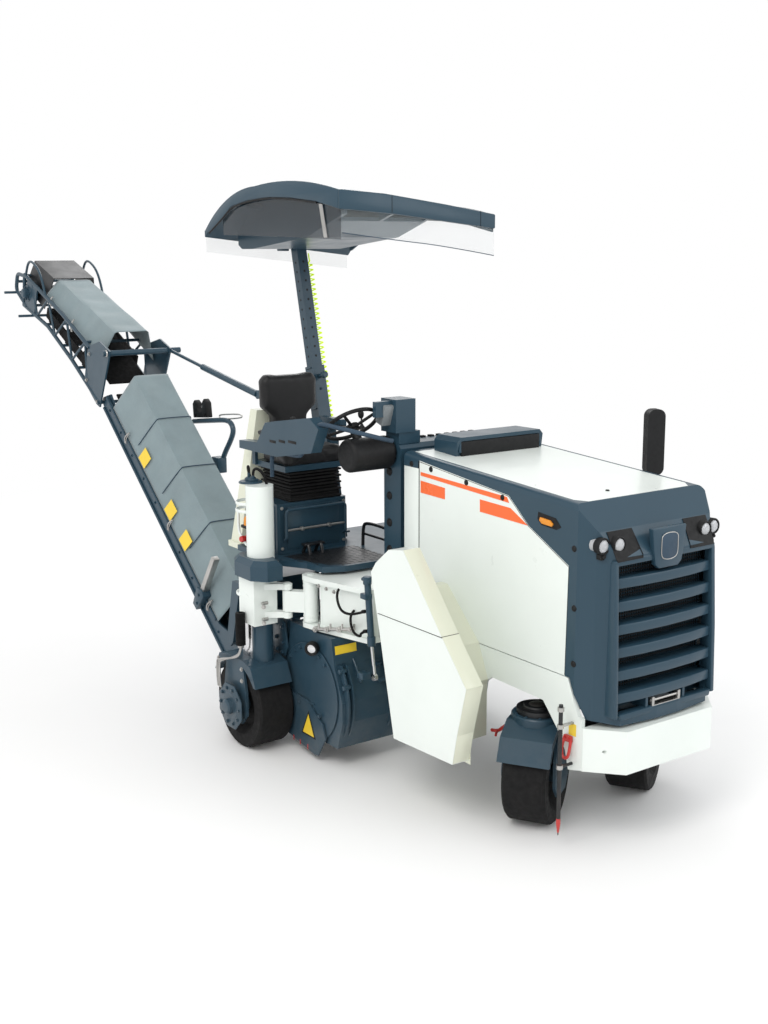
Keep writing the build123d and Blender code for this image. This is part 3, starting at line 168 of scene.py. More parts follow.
class Finish:
    """A material under construction: keeps its node tree and places nodes by short calls."""

    def __init__(self, name):
        self.material = bpy.data.materials.new(name)
        self.material.use_nodes = True
        self.tree = self.material.node_tree
        self.shader = self.tree.nodes["Principled BSDF"]
        self.place = self.node("ShaderNodeTexCoord").outputs["Object"]

    def node(self, kind, **settings):
        made = self.tree.nodes.new(kind)
        for key, value in settings.items():
            setattr(made, key, value)
        return made

    def link(self, out, into):
        self.tree.links.new(out, into)

    def noise(self, scale, detail=4, rough=0.55, stretch=None):
        made = self.node("ShaderNodeTexNoise")
        made.inputs["Scale"].default_value = scale
        made.inputs["Detail"].default_value = detail
        made.inputs["Roughness"].default_value = rough
        self.link(self.stretched(stretch), made.inputs["Vector"])
        return made.outputs["Fac"]

    def stretched(self, scale, turn_by=(0, 0, 0)):
        if scale is None:
            return self.place
        mapping = self.node("ShaderNodeMapping")
        mapping.inputs["Scale"].default_value = scale
        mapping.inputs["Rotation"].default_value = turn_by
        self.link(self.place, mapping.inputs["Vector"])
        return mapping.outputs["Vector"]

    def ramp(self, value, low, high, dark=0.0, light=1.0):
        made = self.node("ShaderNodeMapRange")
        made.inputs["From Min"].default_value = low
        made.inputs["From Max"].default_value = high
        made.inputs["To Min"].default_value = dark
        made.inputs["To Max"].default_value = light
        self.link(value, made.inputs["Value"])
        return made.outputs["Result"]

    def math(self, kind, a, b):
        made = self.node("ShaderNodeMath", operation=kind)
        for socket, value in zip(made.inputs, (a, b)):
            if isinstance(value, (int, float)):
                socket.default_value = value
            else:
                self.link(value, socket)
        return made.outputs[0]

    def mix(self, factor, a, b):
        made = self.node("ShaderNodeMix", data_type="RGBA")
        for socket, value in ((made.inputs["Factor"], factor), (made.inputs["A"], a), (made.inputs["B"], b)):
            if isinstance(value, (int, float)):
                socket.default_value = value
            elif isinstance(value, tuple):
                socket.default_value = (*value, 1)
            else:
                self.link(value, socket)
        return made.outputs["Result"]

    def height(self):
        split = self.node("ShaderNodeSeparateXYZ")
        self.link(self.place, split.inputs[0])
        return split.outputs["Z"]

    def bump(self, value, strength, distance):
        made = self.node("ShaderNodeBump")
        made.inputs["Strength"].default_value = strength
        made.inputs["Distance"].default_value = distance
        self.link(value, made.inputs["Height"])
        self.link(made.outputs["Normal"], self.shader.inputs["Normal"])

    def color(self, value):
        self.link(value, self.shader.inputs["Base Color"])

    def rough(self, value):
        self.link(value, self.shader.inputs["Roughness"])


def painted(name, color, gloss=0.32, dust=(0.42, 0.38, 0.32), dust_top=0.7, coat=0.25, specular=0.5):
    """Sprayed enamel: faint orange peel, uneven gloss, dust that thickens towards the ground."""
    f = Finish(name)
    mottling = f.ramp(f.noise(1.7, 5), 0.3, 0.7, 0.0, 1.0)
    shade = f.mix(mottling, tuple(c * 0.965 for c in color), tuple(min(1, c * 1.02) for c in color))
    falling = f.ramp(f.height(), 0.05, dust_top, 0.16, 0.0)
    grain = f.ramp(f.noise(6, 8, 0.7), 0.35, 0.8, 0.0, 1.0)
    cover = f.math("MULTIPLY", falling, grain)
    f.color(f.mix(cover, shade, dust))
    f.rough(f.math("ADD", f.ramp(f.noise(5, 6), 0.3, 0.7, gloss - 0.05, gloss + 0.08), f.math("MULTIPLY", cover, 0.4)))
    f.shader.inputs["Coat Weight"].default_value = coat
    f.shader.inputs["Specular IOR Level"].default_value = specular
    f.shader.inputs["Coat Roughness"].default_value = 0.12
    f.bump(f.noise(260, 2), 0.04, 0.001)
    return f.material


def moulded(name, color, gloss=0.55):
    """Moulded plastic with a fine leather-like grain."""
    f = Finish(name)
    f.shader.inputs["Specular IOR Level"].default_value = 0.28
    dark, light = tuple(c * 0.85 for c in color), tuple(min(1, c * 1.2) for c in color)
    f.color(f.mix(f.ramp(f.noise(3, 5), 0.3, 0.7), dark, light))
    f.rough(f.ramp(f.noise(40, 4), 0.3, 0.7, gloss - 0.08, gloss + 0.1))
    f.bump(f.noise(420, 3), 0.12, 0.0006)
    return f.material


def rubbery(name, color, dusty=0.35, scale=14):
    """Rubber with grey bloom and caught dust."""
    f = Finish(name)
    f.shader.inputs["Specular IOR Level"].default_value = 0.2
    bloom = f.ramp(f.noise(scale, 8, 0.7), 0.4, 0.85, 0.0, dusty)
    f.color(f.mix(bloom, color, (0.20, 0.185, 0.165)))
    f.rough(f.ramp(f.noise(30, 4), 0.3, 0.7, 0.62, 0.86))
    f.bump(f.noise(180, 4), 0.18, 0.001)
    return f.material


def bare_metal(name, color, gloss=0.38, metallic=1.0, streak=(1, 1, 14)):
    """Bare or plated steel with drawn streaks."""
    f = Finish(name)
    f.shader.inputs["Metallic"].default_value = metallic
    f.color(f.mix(f.ramp(f.noise(6, 6), 0.35, 0.7), tuple(c * 0.75 for c in color), color))
    f.rough(f.ramp(f.noise(60, 5, stretch=streak), 0.3, 0.7, gloss - 0.1, gloss + 0.15))
    f.bump(f.noise(140, 4, stretch=streak), 0.06, 0.0008)
    return f.material


def woven(name, color, pitch=420, crease=3.0, sheen=0.25, rough=0.72):
    """Coated cloth: two crossed thread waves, soft creases painted darker in their hollows as shade, and a little dirt.
    """
    f = Finish(name)
    threads = []
    for turn_by in ((0, 0, radians(45)), (0, 0, radians(-45))):
        wave = f.node("ShaderNodeTexWave")
        wave.inputs["Scale"].default_value = pitch
        f.link(f.stretched((1, 1, 1), turn_by), wave.inputs["Vector"])
        threads.append(wave.outputs["Fac"])
    cloth = f.math("MULTIPLY", threads[0], threads[1])
    creases = f.noise(crease, 6, 0.6)
    dirt = f.ramp(f.noise(4.5, 8, 0.7), 0.42, 0.8, 0.0, 0.07)
    # painted shade: darker in the crease hollows and lighter on the crowns, following the same noise as the bump
    base = f.mix(f.ramp(creases, 0.3, 0.7), tuple(c * 0.86 for c in color), tuple(min(1, c * 1.1) for c in color))
    f.color(f.mix(dirt, base, (0.30, 0.28, 0.24)))
    f.shader.inputs["Roughness"].default_value = rough
    f.shader.inputs["Sheen Weight"].default_value = sheen
    f.bump(f.math("ADD", f.math("MULTIPLY", cloth, 0.15), creases), 0.3, 0.006)
    return f.material


def plain_glow(name, color, rough, transmission=0.0, alpha=1.0):
    """Lens and clear sheet: faint haze and hairline scratches."""
    f = Finish(name)
    haze = f.ramp(f.noise(7, 6), 0.35, 0.7)
    f.color(f.mix(haze, tuple(c * 0.92 for c in color), color))
    f.rough(f.ramp(f.noise(120, 4, stretch=(1, 8, 1)), 0.3, 0.7, rough, rough + 0.12))
    f.shader.inputs["Transmission Weight"].default_value = transmission
    f.shader.inputs["Alpha"].default_value = alpha
    f.shader.inputs["IOR"].default_value = 1.45
    return f.material


WHITE, SLATE, ORANGE = (0.785, 0.835, 0.80), (0.022, 0.054, 0.081), (0.90, 0.13, 0.010)
white_enamel = painted("white_enamel", WHITE)
# cream enamel, darker than the white; on the fender's front edge faces and the right arch liner its darker tone is
# painted shade
cream_and_shade_enamel = painted("cream_and_shade_enamel", (0.69, 0.71, 0.575))
slate_enamel = painted("slate_enamel", SLATE, gloss=0.34, coat=0.10, specular=0.32)
orange_enamel = painted("orange_enamel", ORANGE, gloss=0.3)
grey_enamel = painted("grey_enamel", (0.19, 0.21, 0.22), gloss=0.42)
black_enamel = painted("black_enamel", (0.008, 0.009, 0.011), gloss=0.42, coat=0.05)
black_mould = moulded("black_mould", (0.0065, 0.0068, 0.0075))
slate_mould = moulded("slate_mould", (0.033, 0.060, 0.092), gloss=0.5)
tyre_rubber = rubbery("tyre_rubber", (0.0075, 0.0075, 0.008), dusty=0.035)
soft_rubber = rubbery("soft_rubber", (0.006, 0.006, 0.0065), dusty=0.03)
plated_steel = bare_metal("plated_steel", (0.55, 0.54, 0.52))
chromed_rod = bare_metal("chromed_rod", (0.75, 0.75, 0.76), gloss=0.14)
cast_teeth = bare_metal("cast_teeth", (0.16, 0.14, 0.12), gloss=0.6, metallic=0.7, streak=None)
tarpaulin = woven("tarpaulin", (0.20, 0.265, 0.285), pitch=260)


def leathered(name, color):
    """Black seat vinyl: pebbled grain, soft sheen on the crowns."""
    f = Finish(name)
    f.shader.inputs["Specular IOR Level"].default_value = 0.3
    cells = f.node("ShaderNodeTexVoronoi")
    cells.inputs["Scale"].default_value = 260
    f.link(f.place, cells.inputs["Vector"])
    f.color(f.mix(f.ramp(f.noise(5, 4), 0.3, 0.7), tuple(c * 0.8 for c in color), tuple(c * 1.25 for c in color)))
    f.rough(f.ramp(f.noise(24, 4), 0.3, 0.7, 0.40, 0.56))
    f.shader.inputs["Sheen Weight"].default_value = 0.12
    f.bump(f.math("ADD", cells.outputs["Distance"], f.math("MULTIPLY", f.noise(9, 4), 2.0)), 0.22, 0.0016)
    return f.material


seat_vinyl = leathered("seat_vinyl", (0.0065, 0.0065, 0.0072))
clear_sheet = plain_glow("clear_sheet", (0.50, 0.55, 0.56), 0.05, transmission=0.3, alpha=0.13)
smoked_sheet = plain_glow("smoked_sheet", (0.012, 0.022, 0.032), 0.05, transmission=0.2, alpha=0.45)
lamp_lens = plain_glow("lamp_lens", (0.85, 0.87, 0.9), 0.08, transmission=0.5)
amber_lens = plain_glow("amber_lens", (0.95, 0.35, 0.03), 0.15, transmission=0.2)
yellow_enamel = painted("yellow_enamel", (0.86, 0.60, 0.03), gloss=0.35)
red_enamel = painted("red_enamel", (0.52, 0.025, 0.02), gloss=0.35)
cable_jacket = rubbery("cable_jacket", (0.72, 0.88, 0.02), dusty=0.0)
cable_shader = cable_jacket.node_tree.nodes["Principled BSDF"]      # painted light: the jacket gets an emission so it glows out of its own shade, though it is no lamp
cable_shader.inputs["Emission Color"].default_value = (0.60, 0.90, 0.01, 1)
cable_shader.inputs["Emission Strength"].default_value = 0.38

NODE_FINISH = {
    white_enamel: "rear_body arm_bracket swing_arm leg_clamp_right side_skirts bumper fender_right fender_left "
                  "hood_doors hood_roof",
    # the right arch liner's darker cream is painted shade inside the wheel arch
    cream_and_shade_enamel: "rear_cover arch_liner_right",
    slate_enamel: "hood_trim canopy_roof conveyor_lower conveyor_upper conveyor_ram slew_yoke dash_post drum_housing "
                  "platform seat_box air_scoop grille arm_cover knuckle_right knuckle_left leg_right leg_left "
                  "side_plate mast_inner mast_sleeve seat_frame canopy_frame instrument_boxes",
    black_enamel: "chassis_frame engine_block front_axle_beam head_hood depth_rod",
    black_mould: "steering_wheel steering_column mirror",
    tyre_rubber: "wheel_front_right wheel_front_left wheel_rear_right wheel_rear_left",
    cast_teeth: "drum",
    soft_rubber: "belt_lower belt_upper seat_bellows",
    tarpaulin: "cover_lower cover_upper",
    seat_vinyl: "seat_cushion seat_back",
    clear_sheet: "canopy_skirts",
    lamp_lens: "head_lamps",
    cable_jacket: "curly_cable",
}
for finish, names in NODE_FINISH.items():
    for name in names.split():
        node[name].data.materials.clear()
        node[name].data.materials.append(finish)

curly.data.materials.clear()
curly.data.materials.append(cable_jacket)
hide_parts("curly_cable")
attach(curly, "canopy")
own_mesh(curly)

# ---------------------------------------------------------------- floor
ground = bmesh.new()
bmesh.ops.create_grid(ground, x_segments=2, y_segments=2, size=30)
ground_mesh = bpy.data.meshes.new("floor")
ground.to_mesh(ground_mesh)
floor = bpy.data.objects.new("floor", ground_mesh)
bpy.context.scene.collection.objects.link(floor)
pale = Finish("pale_floor")
pale.color(pale.mix(pale.noise(0.6), (0.86, 0.86, 0.86), (0.90, 0.90, 0.90)))
pale.shader.inputs["Roughness"].default_value = 0.85
floor.data.materials.append(pale.material)
glow = pale.node("ShaderNodeEmission")                # the sweep of the studio floor runs out into plain light
glow.inputs["Color"].default_value = (1, 1, 1, 1)
reach = pale.node("ShaderNodeVectorMath", operation="LENGTH")
pale.link(pale.place, reach.inputs[0])
blend = pale.node("ShaderNodeMixShader")
pale.link(pale.ramp(reach.outputs["Value"], 4.5, 9.0), blend.inputs[0])
pale.link(pale.shader.outputs["BSDF"], blend.inputs[1])
pale.link(glow.outputs["Emission"], blend.inputs[2])
pale.link(blend.outputs["Shader"], pale.tree.nodes["Material Output"].inputs["Surface"])

# ---------------------------------------------------------------- building helpers


class Shape:
    """One piece under construction from bmesh operators; points are given on the machine's datum."""

    def __init__(self, name, body, finish, slot):
        self.name, self.body, self.finish, self.slot = name, body, finish, slot
        self.mesh = bmesh.new()

    def soften(self, verts, width, segments=2):
        edges = [e for e in {e for v in verts for e in v.link_edges} if e.calc_face_angle(0) > 0.5]
        bmesh.ops.bevel(self.mesh, geom=edges, offset=width, offset_type="OFFSET", segments=segments, profile=0.5,
                        affect="EDGES", clamp_overlap=True, material=-1)

    def box(self, low, high, soft=0.003, spin=None):
        low, high = at(*low), at(*high)
        middle, size = (low + high) / 2, high - low
        place = Matrix.Translation(middle)
        if spin:
            place = place @ Matrix.Rotation(radians(spin[0]), 4, spin[1])
        made = bmesh.ops.create_cube(self.mesh, size=1, matrix=place @ Matrix.Diagonal((*size, 1)))["verts"]
        if soft:
            self.soften(made, soft)
        return self

    def rod(self, start, end, radius, tip=None, sides=20, soft=0.0):
        start, end = at(*start), at(*end)
        run = end - start
        place = Matrix.Translation((start + end) / 2) @ run.to_track_quat("Z", "Y").to_matrix().to_4x4()
        made = bmesh.ops.create_cone(self.mesh, cap_ends=True, segments=sides, radius1=radius,
                                     radius2=radius if tip is None else tip, depth=run.length, matrix=place)["verts"]
        if soft:
            self.soften(made, soft)
        return self

    def plate(self, outline, run, soft=0.0):
        """A flat outline pushed out along a run."""
        corners = [self.mesh.verts.new(at(*p)) for p in outline]
        face = self.mesh.faces.new(corners)
        pushed = bmesh.ops.extrude_face_region(self.mesh, geom=[face])["geom"]
        moved = [v for v in pushed if isinstance(v, bmesh.types.BMVert)]
        bmesh.ops.translate(self.mesh, verts=moved, vec=Vector(run))
        if soft:
            self.soften(corners + moved, soft)
        return self

    def lathe(self, profile, centre, axis, steps=32):
        """A turned form: radius and height pairs about an axis."""
        turn_to = Vector(axis).to_track_quat("Z", "Y").to_matrix().to_4x4()
        place = Matrix.Translation(at(*centre)) @ turn_to
        line = [self.mesh.verts.new(place @ Vector((r, 0, h))) for r, h in profile]
        edges = [self.mesh.edges.new(pair) for pair in zip(line, line[1:])]
        made = bmesh.ops.spin(self.mesh, geom=line + edges, cent=at(*centre), axis=Vector(axis).normalized(),
                              angle=2 * pi, steps=steps, use_merge=True)
        bmesh.ops.remove_doubles(self.mesh, verts=[v for v in self.mesh.verts if v.is_valid], dist=0.00005)
        return self

    def pipe(self, points, radius, sides=3):
        """A bent tube through the points, rounded at its corners."""
        route = spline_curve(self.name + "_route", [at(*p) for p in points], radius, resolution=6)
        route.data.bevel_resolution = sides
        made = bpy.data.meshes.new_from_object(route)
        self.mesh.from_mesh(made)
        bpy.data.objects.remove(route)
        bpy.data.meshes.remove(made)
        return self

    def bolt(self, place, axis, size=0.011, height=0.009):
        run = Vector(axis).normalized()
        start = Vector(place)
        self.rod(start - run * 0.002, start + run * 0.0025, size * 1.35, sides=16)
        self.rod(start + run * 0.002, start + run * height, size, sides=6, soft=0.0012)
        return self

    def bolts(self, places, axis, size=0.011, height=0.009):
        for place in places:
            self.bolt(place, axis, size, height)
        return self

    def done(self, keep_normals=False):
        if not keep_normals:
            bmesh.ops.recalc_face_normals(self.mesh, faces=self.mesh.faces)
        for face in self.mesh.faces:
            face.smooth = True
        for edge in self.mesh.edges:
            edge.smooth = edge.calc_face_angle(0) < radians(32)
        data = bpy.data.meshes.new(self.name)
        self.mesh.to_mesh(data)
        self.mesh.free()
        piece = bpy.data.objects.new(self.name, data)
        bpy.context.scene.collection.objects.link(piece)
        data.materials.append(self.finish)
        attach(piece, self.body)
        return piece


def circle_of(centre, axis, radius, count, start=0.0):
    """Points evenly spaced on a circle, on the machine's datum."""
    turn_to = Vector(axis).to_track_quat("Z", "Y")
    return [Vector(centre) + turn_to @ Vector((radius * cos(start + 2 * pi * k / count),
                                               radius * sin(start + 2 * pi * k / count), 0)) for k in range(count)]


RIGHT, FRONT, TOP = (0, -1, 0), (1, 0, 0), (0, 0, 1)
SIDE = -0.507            # hood's right face

# ---------------------------------------------------------------- hood
stripes = Shape("hood_stripes", "hood", orange_enamel, "white_paint")
for band in (((1.009, 1.966), (1.839, 1.935), (1.86, 1.903), (1.009, 1.943)),
             ((1.010, 1.911), (1.258, 1.900), (1.258, 1.829), (1.010, 1.834)),
             ((1.595, 1.883), (1.872, 1.875), (2.025, 1.798), (1.597, 1.808))):
    stripes.plate([(x, SIDE - 0.0002, z) for x, z in band], (0, -0.0014, 0))
    stripes.plate([(x, -SIDE + 0.0002, z) for x, z in reversed(band)], (0, 0.0014, 0))
stripes.done()

buttons = Shape("hood_buttons", "hood", black_mould, "black_plastic")
for side in (-1, 1):
    for x, z in ((0.912, 2.005), (1.115, 1.997), (1.465, 1.965), (1.80, 1.925), (2.405, 1.735), (2.415, 1.40),
                 (2.420, 1.081), (0.905, 1.06)):
        buttons.lathe(((0.0, 0.0075), (0.012, 0.0075), (0.0165, 0.004), (0.019, 0.0), (0.019, -0.002)),
                      (x, side * 0.5065, z), (0, side, 0), 20)
buttons.lathe(((0.0, 0.006), (0.010, 0.006), (0.013, 0.0), (0.013, -0.003)), (2.26, -0.12, 1.993), TOP, 16)
buttons.done()

# fine dark joints round the doors and the narrow rear panel
joints = Shape("hood_joints", "hood", black_mould, "black_plastic")
for side in (-1, 1):
    for (x0, z0), (x1, z1) in (((0.985, 1.0), (0.985, 2.03)), ((0.985, 2.03), (1.852, 1.942)),
                               ((1.852, 1.942), (2.028, 1.796)), ((2.028, 1.796), (2.366, 1.625)),
                               ((2.366, 1.625), (2.354, 1.0))):
        joints.rod((x0, side * 0.5062, z0), (x1, side * 0.5062, z1), 0.0022, sides=8)
joints.done()

badge_ground = Shape("front_shield", "hood", slate_enamel, "slate_paint")
badge_ground.plate([(2.596, y, z) for y, z in
                    ((-0.135, 1.835), (0.135, 1.835), (0.118, 1.70), (0.105, 1.63), (0.075, 1.605), (-0.075, 1.605),
                     (-0.105, 1.63), (-0.118, 1.70))], (0.036, 0, 0), soft=0.007)
badge_ground.done()
badge = Shape("front_badge_blank", "hood", slate_mould, "slate_plastic")
badge.plate([(2.6325, y, z) for y, z in ((-0.062, 1.800), (0.062, 1.800), (0.062, 1.675), (0.03, 1.655),
                                         (-0.03, 1.655), (-0.062, 1.675))], (0.003, 0, 0), soft=0.001)
badge.done()
badge_rim = Shape("front_badge_rim", "hood", plated_steel, "grey_paint")
badge_rim.pipe([(2.6345, y, z) for y, z in
                ((0, 1.803), (-0.064, 1.803), (-0.066, 1.74), (-0.066, 1.672), (-0.032, 1.652), (0.032, 1.652),
                 (0.066, 1.672), (0.066, 1.74), (0.064, 1.803), (0, 1.803))], 0.0028)
badge_rim.done()

# white panel behind the doors with its dark joint
rear_panel = Shape("hood_rear_panels", "hood", white_enamel, "white_paint")
panel_joint = Shape("hood_panel_joints", "hood", black_mould, "black_plastic")
for side in (-1, 1):
    y = side * 0.5072
    rear_panel.plate([(0.837, y, 1.004), (0.990, y, 1.004), (0.990, y, 1.985), (0.837, y, 1.985)][::side],
                     (0, side * 0.0018, 0), soft=0.0008)
    panel_joint.box((0.9905, side * 0.5078 - 0.0012, 1.0), (0.9965, side * 0.5078 + 0.0012, 2.03), soft=0)
rear_panel.done()
panel_joint.done()

# dark pockets behind the head lamps
pockets = Shape("lamp_pockets", "hood", black_mould, "black_plastic")
for side in (-1, 1):
    pockets.plate([(2.534, side * 0.396, 1.836), (2.534, side * 0.205, 1.836), (2.613, side * 0.190, 1.702),
                   (2.616, side * 0.190, 1.680), (2.616, side * 0.385, 1.680), (2.608, side * 0.393, 1.702)],
                  (0.0035, 0, 0.002), soft=0.001)
    pockets.box((2.490, side * 0.44 - 0.012, 1.690), (2.560, side * 0.44 + 0.012, 1.712), soft=0.003)
pockets.done()

# grille: full slats with rounded noses inside a frame
GRILLE_STEP = 0.1294
noses = Shape("grille_slat_noses", "hood", slate_enamel, "slate_paint")
for level in range(6):
    z = 0.886 + GRILLE_STEP * level - 0.008
    front = 2.664 - 0.048 * (z + 0.008 - 0.746) / 0.954 + 0.004
    half = 0.385 if level else 0.378
    noses.plate([(2.560, -half, z), (front - 0.026, -half + 0.006, z), (front - 0.007, -0.2, z), (front, 0, z),
                 (front - 0.007, 0.2, z), (front - 0.026, half - 0.006, z), (2.560, half, z)],
                (0, 0, 0.060), soft=0.009)
noses.done()
frame_bars = Shape("grille_frame", "hood", slate_enamel, "slate_paint")
for side in (-1, 1):
    frame_bars.plate([(2.570, side * 0.378, 0.80), (2.652, side * 0.378, 0.80), (2.640, side * 0.378, 1.20),
                      (2.616, side * 0.372, 1.675), (2.570, side * 0.372, 1.675)], (0, side * 0.030, 0), soft=0.008)
frame_bars.plate([(2.580, y, z) for y, z in ((-0.40, 1.655), (0.40, 1.655), (0.40, 1.69), (-0.40, 1.69))],
                 (0.036, 0, 0), soft=0.008)
frame_bars.plate([(2.600, y, z) for y, z in ((-0.36, 0.785), (0.36, 0.785), (0.372, 0.822), (-0.372, 0.822))],
                 (0.058, 0, 0), soft=0.008)
frame_bars.done()

# head lamps: black drums with a glass face in a bezel, each on a bracket with a knob
for index, (y, set_back) in enumerate(((-0.442, 0.024), (-0.345, 0.0), (0.345, 0.0), (0.442, 0.024))):
    front = 2.581 - set_back
    glass = Shape(f"lamp_glass_{index}", "hood", lamp_lens, "lamp")
    glass.lathe(((0.0, 0.0165), (0.018, 0.0155), (0.031, 0.011), (0.036, 0.005), (0.036, 0.001)),
                (front, y, 1.768), FRONT, 40)
    glass.done()
    rim = Shape(f"lamp_bezel_{index}", "hood", black_mould, "black_plastic")
    rim.lathe(((0.036, -0.03), (0.046, -0.03), (0.048, 0.006), (0.045, 0.012), (0.039, 0.012), (0.036, 0.006),
               (0.036, -0.03)), (front, y, 1.768), FRONT, 40)
    rim.box((front - 0.03, y - 0.02, 1.700), (front + 0.004, y + 0.02, 1.724), soft=0.004)
    rim.lathe(((0.0, 0.016), (0.009, 0.015), (0.011, 0.008), (0.011, 0.0)), (front + 0.002, y, 1.712), FRONT, 16)
    rim.done()
    bulb = Shape(f"lamp_bulb_{index}", "hood", chromed_rod, "lamp")
    bulb.lathe(((0.0, 0.013), (0.006, 0.0125), (0.008, 0.008), (0.008, 0.002)), (front + 0.001, y, 1.768), FRONT, 20)
    bulb.done()

# side markers
for side in (-1, 1):
    marker = Shape(f"side_marker_{'right' if side < 0 else 'left'}", "hood", amber_lens, "lamp")
    face = side * 0.5075
    marker.plate([(2.135, face, 1.868), (2.215, face, 1.862), (2.240, face, 1.845), (2.232, face, 1.828),
                  (2.150, face, 1.832), (2.128, face, 1.848)][::side], (0, side * 0.012, 0), soft=0.004)
    marker.done()
    pocket = Shape(f"marker_frame_{'right' if side < 0 else 'left'}", "hood", black_mould, "black_plastic")
    pocket.plate([(2.110, side * 0.5072, 1.893), (2.255, side * 0.5072, 1.880), (2.300, side * 0.5072, 1.835),
                  (2.262, side * 0.5072, 1.815), (2.140, side * 0.5072, 1.822), (2.105, side * 0.5072, 1.85)][::side],
                 (0, side * 0.002, 0), soft=0.0008)
    pocket.done()

# grille mesh: crossed wires before the back plate, in each opening between the slats
mesh_wires = Shape("grille_mesh", "hood", black_mould, "black_plastic")
for k in range(40):
    y = -0.36 + 0.72 * k / 39
    mesh_wires.box((2.530, y - 0.0022, 0.83), (2.5345, y + 0.0022, 1.63), soft=0)
for k in range(44):
    z = 0.835 + 0.795 * k / 43
    mesh_wires.box((2.5335, -0.365, z - 0.0022), (2.538, 0.365, z + 0.0022), soft=0)
mesh_wires.done()
tow = Shape("front_hitch", "hood", plated_steel, "grey_paint")
tow.box((2.62, -0.115, 0.822), (2.655, -0.095, 0.872))
tow.box((2.62, 0.095, 0.822), (2.655, 0.115, 0.872))
tow.box((2.60, -0.115, 0.812), (2.655, 0.115, 0.824))
tow.rod((2.64, -0.12, 0.850), (2.64, 0.12, 0.850), 0.008)
tow.done()

# ---------------------------------------------------------------- front right corner
sign = Shape("front_skirt_plate_blank", "machine", yellow_enamel, "white_paint")
sign.plate([(2.400, SIDE - 0.0002, 0.735), (2.400, SIDE - 0.0002, 0.665), (2.458, SIDE - 0.0002, 0.665),
            (2.458, SIDE - 0.0002, 0.735)], (0, -0.0016, 0))
sign.done()
shackle = Shape("tie_down_ring", "machine", red_enamel, "grey_paint")
shackle.box((2.376, SIDE - 0.022, 0.625), (2.436, SIDE, 0.662), soft=0.005)
shackle.pipe([(2.380, SIDE - 0.014, 0.64), (2.374, SIDE - 0.026, 0.60), (2.380, SIDE - 0.033, 0.545),
              (2.406, SIDE - 0.034, 0.528), (2.432, SIDE - 0.033, 0.545), (2.438, SIDE - 0.026, 0.60),
              (2.432, SIDE - 0.014, 0.64)], 0.0095)
shackle.bolts([(2.39, SIDE - 0.022, 0.650), (2.422, SIDE - 0.022, 0.650)], RIGHT, 0.008)
shackle.done()
plumb = Shape("depth_rod_plumb", "machine", red_enamel, "grey_paint")
plumb.lathe(((0.0, 0.0), (0.006, 0.02), (0.0128, 0.07), (0.0128, 0.10), (0.0, 0.10)), (2.43, -0.6, 0.0925), TOP, 20)
plumb.done()
gauge = Shape("depth_rod_clip", "machine", plated_steel, "grey_paint")
for z in (0.50, 0.74, 0.84):
    gauge.lathe(((0.0125, -0.012), (0.019, -0.012), (0.019, 0.012), (0.0125, 0.012)), (2.43, -0.6, z), TOP, 18)
gauge.box((2.42, -0.59, 0.735), (2.44, SIDE, 0.748), soft=0.002)
gauge.done()

# painted shade: a darker cream skin over the white fender's front edge faces, where the paint lies in shade
strip = Shape("fender_front_shade_strip", "machine", cream_and_shade_enamel, "white_paint")
for (x0, z0), (x1, z1), out in (((1.494, 1.620), (1.863, 1.188), (0.76, 0.65)),
                                ((1.863, 1.188), (2.088, 0.937), (0.745, 0.667)),
                                ((2.088, 0.937), (2.010, 0.640), (0.967, -0.254)),
                                ((2.010, 0.640), (1.973, 0.46), (0.98, -0.2))):
    nx, nz = out[0] * 0.0006, out[1] * 0.0006
    strip.plate([(x0 + nx, -0.9985, z0 + nz), (x1 + nx, -0.9985, z1 + nz), (x1 + nx, -0.8785, z1 + nz),
                 (x0 + nx, -0.8785, z0 + nz)], (out[0] * 0.0018, 0, out[1] * 0.0018), soft=0.0006)
strip.done()
fender_joint = Shape("fender_joints", "machine", black_mould, "black_plastic")
fender_joint.rod((1.236, -1.0003, 1.18), (1.868, -1.0003, 1.183), 0.0022, sides=8)
fender_joint.rod((1.866, -1.0003, 1.186), (1.866, -0.878, 1.186), 0.0024, sides=8)
fender_joint.done()
arch_lamp = Shape("arch_lamp", "machine", chromed_rod, "lamp")
arch_lamp.lathe(((0.0, 0.006), (0.035, 0.005), (0.038, 0.018), (0.046, 0.02), (0.05, 0.012), (0.05, -0.02),
                 (0.0, -0.02)), (1.79, -0.86, 0.77), (0.8, -0.55, 0.1), 28)
arch_lamp.done()

# steering head over the right front wheel
dome = Shape("steering_cap", "machine", plated_steel, "grey_paint")
dome.lathe(((0.0, 0.058), (0.045, 0.052), (0.085, 0.032), (0.105, 0.006), (0.112, 0.0), (0.112, -0.02), (0.0, -0.02)),
           (2.037, -0.414, 0.668), TOP, 36)
dome.done()
king_ring = Shape("steering_ring", "machine", slate_enamel, "slate_paint")
king_ring.lathe(((0.112, 0.0), (0.150, 0.0), (0.156, -0.008), (0.156, -0.05), (0.112, -0.05)), (2.037, -0.414, 0.668),
                TOP, 40)
king_ring.bolts(circle_of((2.037, -0.414, 0.668), TOP, 0.133, 10), TOP, 0.008, 0.008)
king_ring.done()
lever = Shape("release_lever", "machine", red_enamel, "grey_paint")
lever.pipe([(1.665, -0.45, 0.445), (1.722, -0.45, 0.452), (1.775, -0.45, 0.50), (1.818, -0.45, 0.532)], 0.011)
lever.pipe([(1.722, -0.45, 0.455), (1.742, -0.48, 0.462), (1.762, -0.5, 0.45)], 0.008)
lever.done()

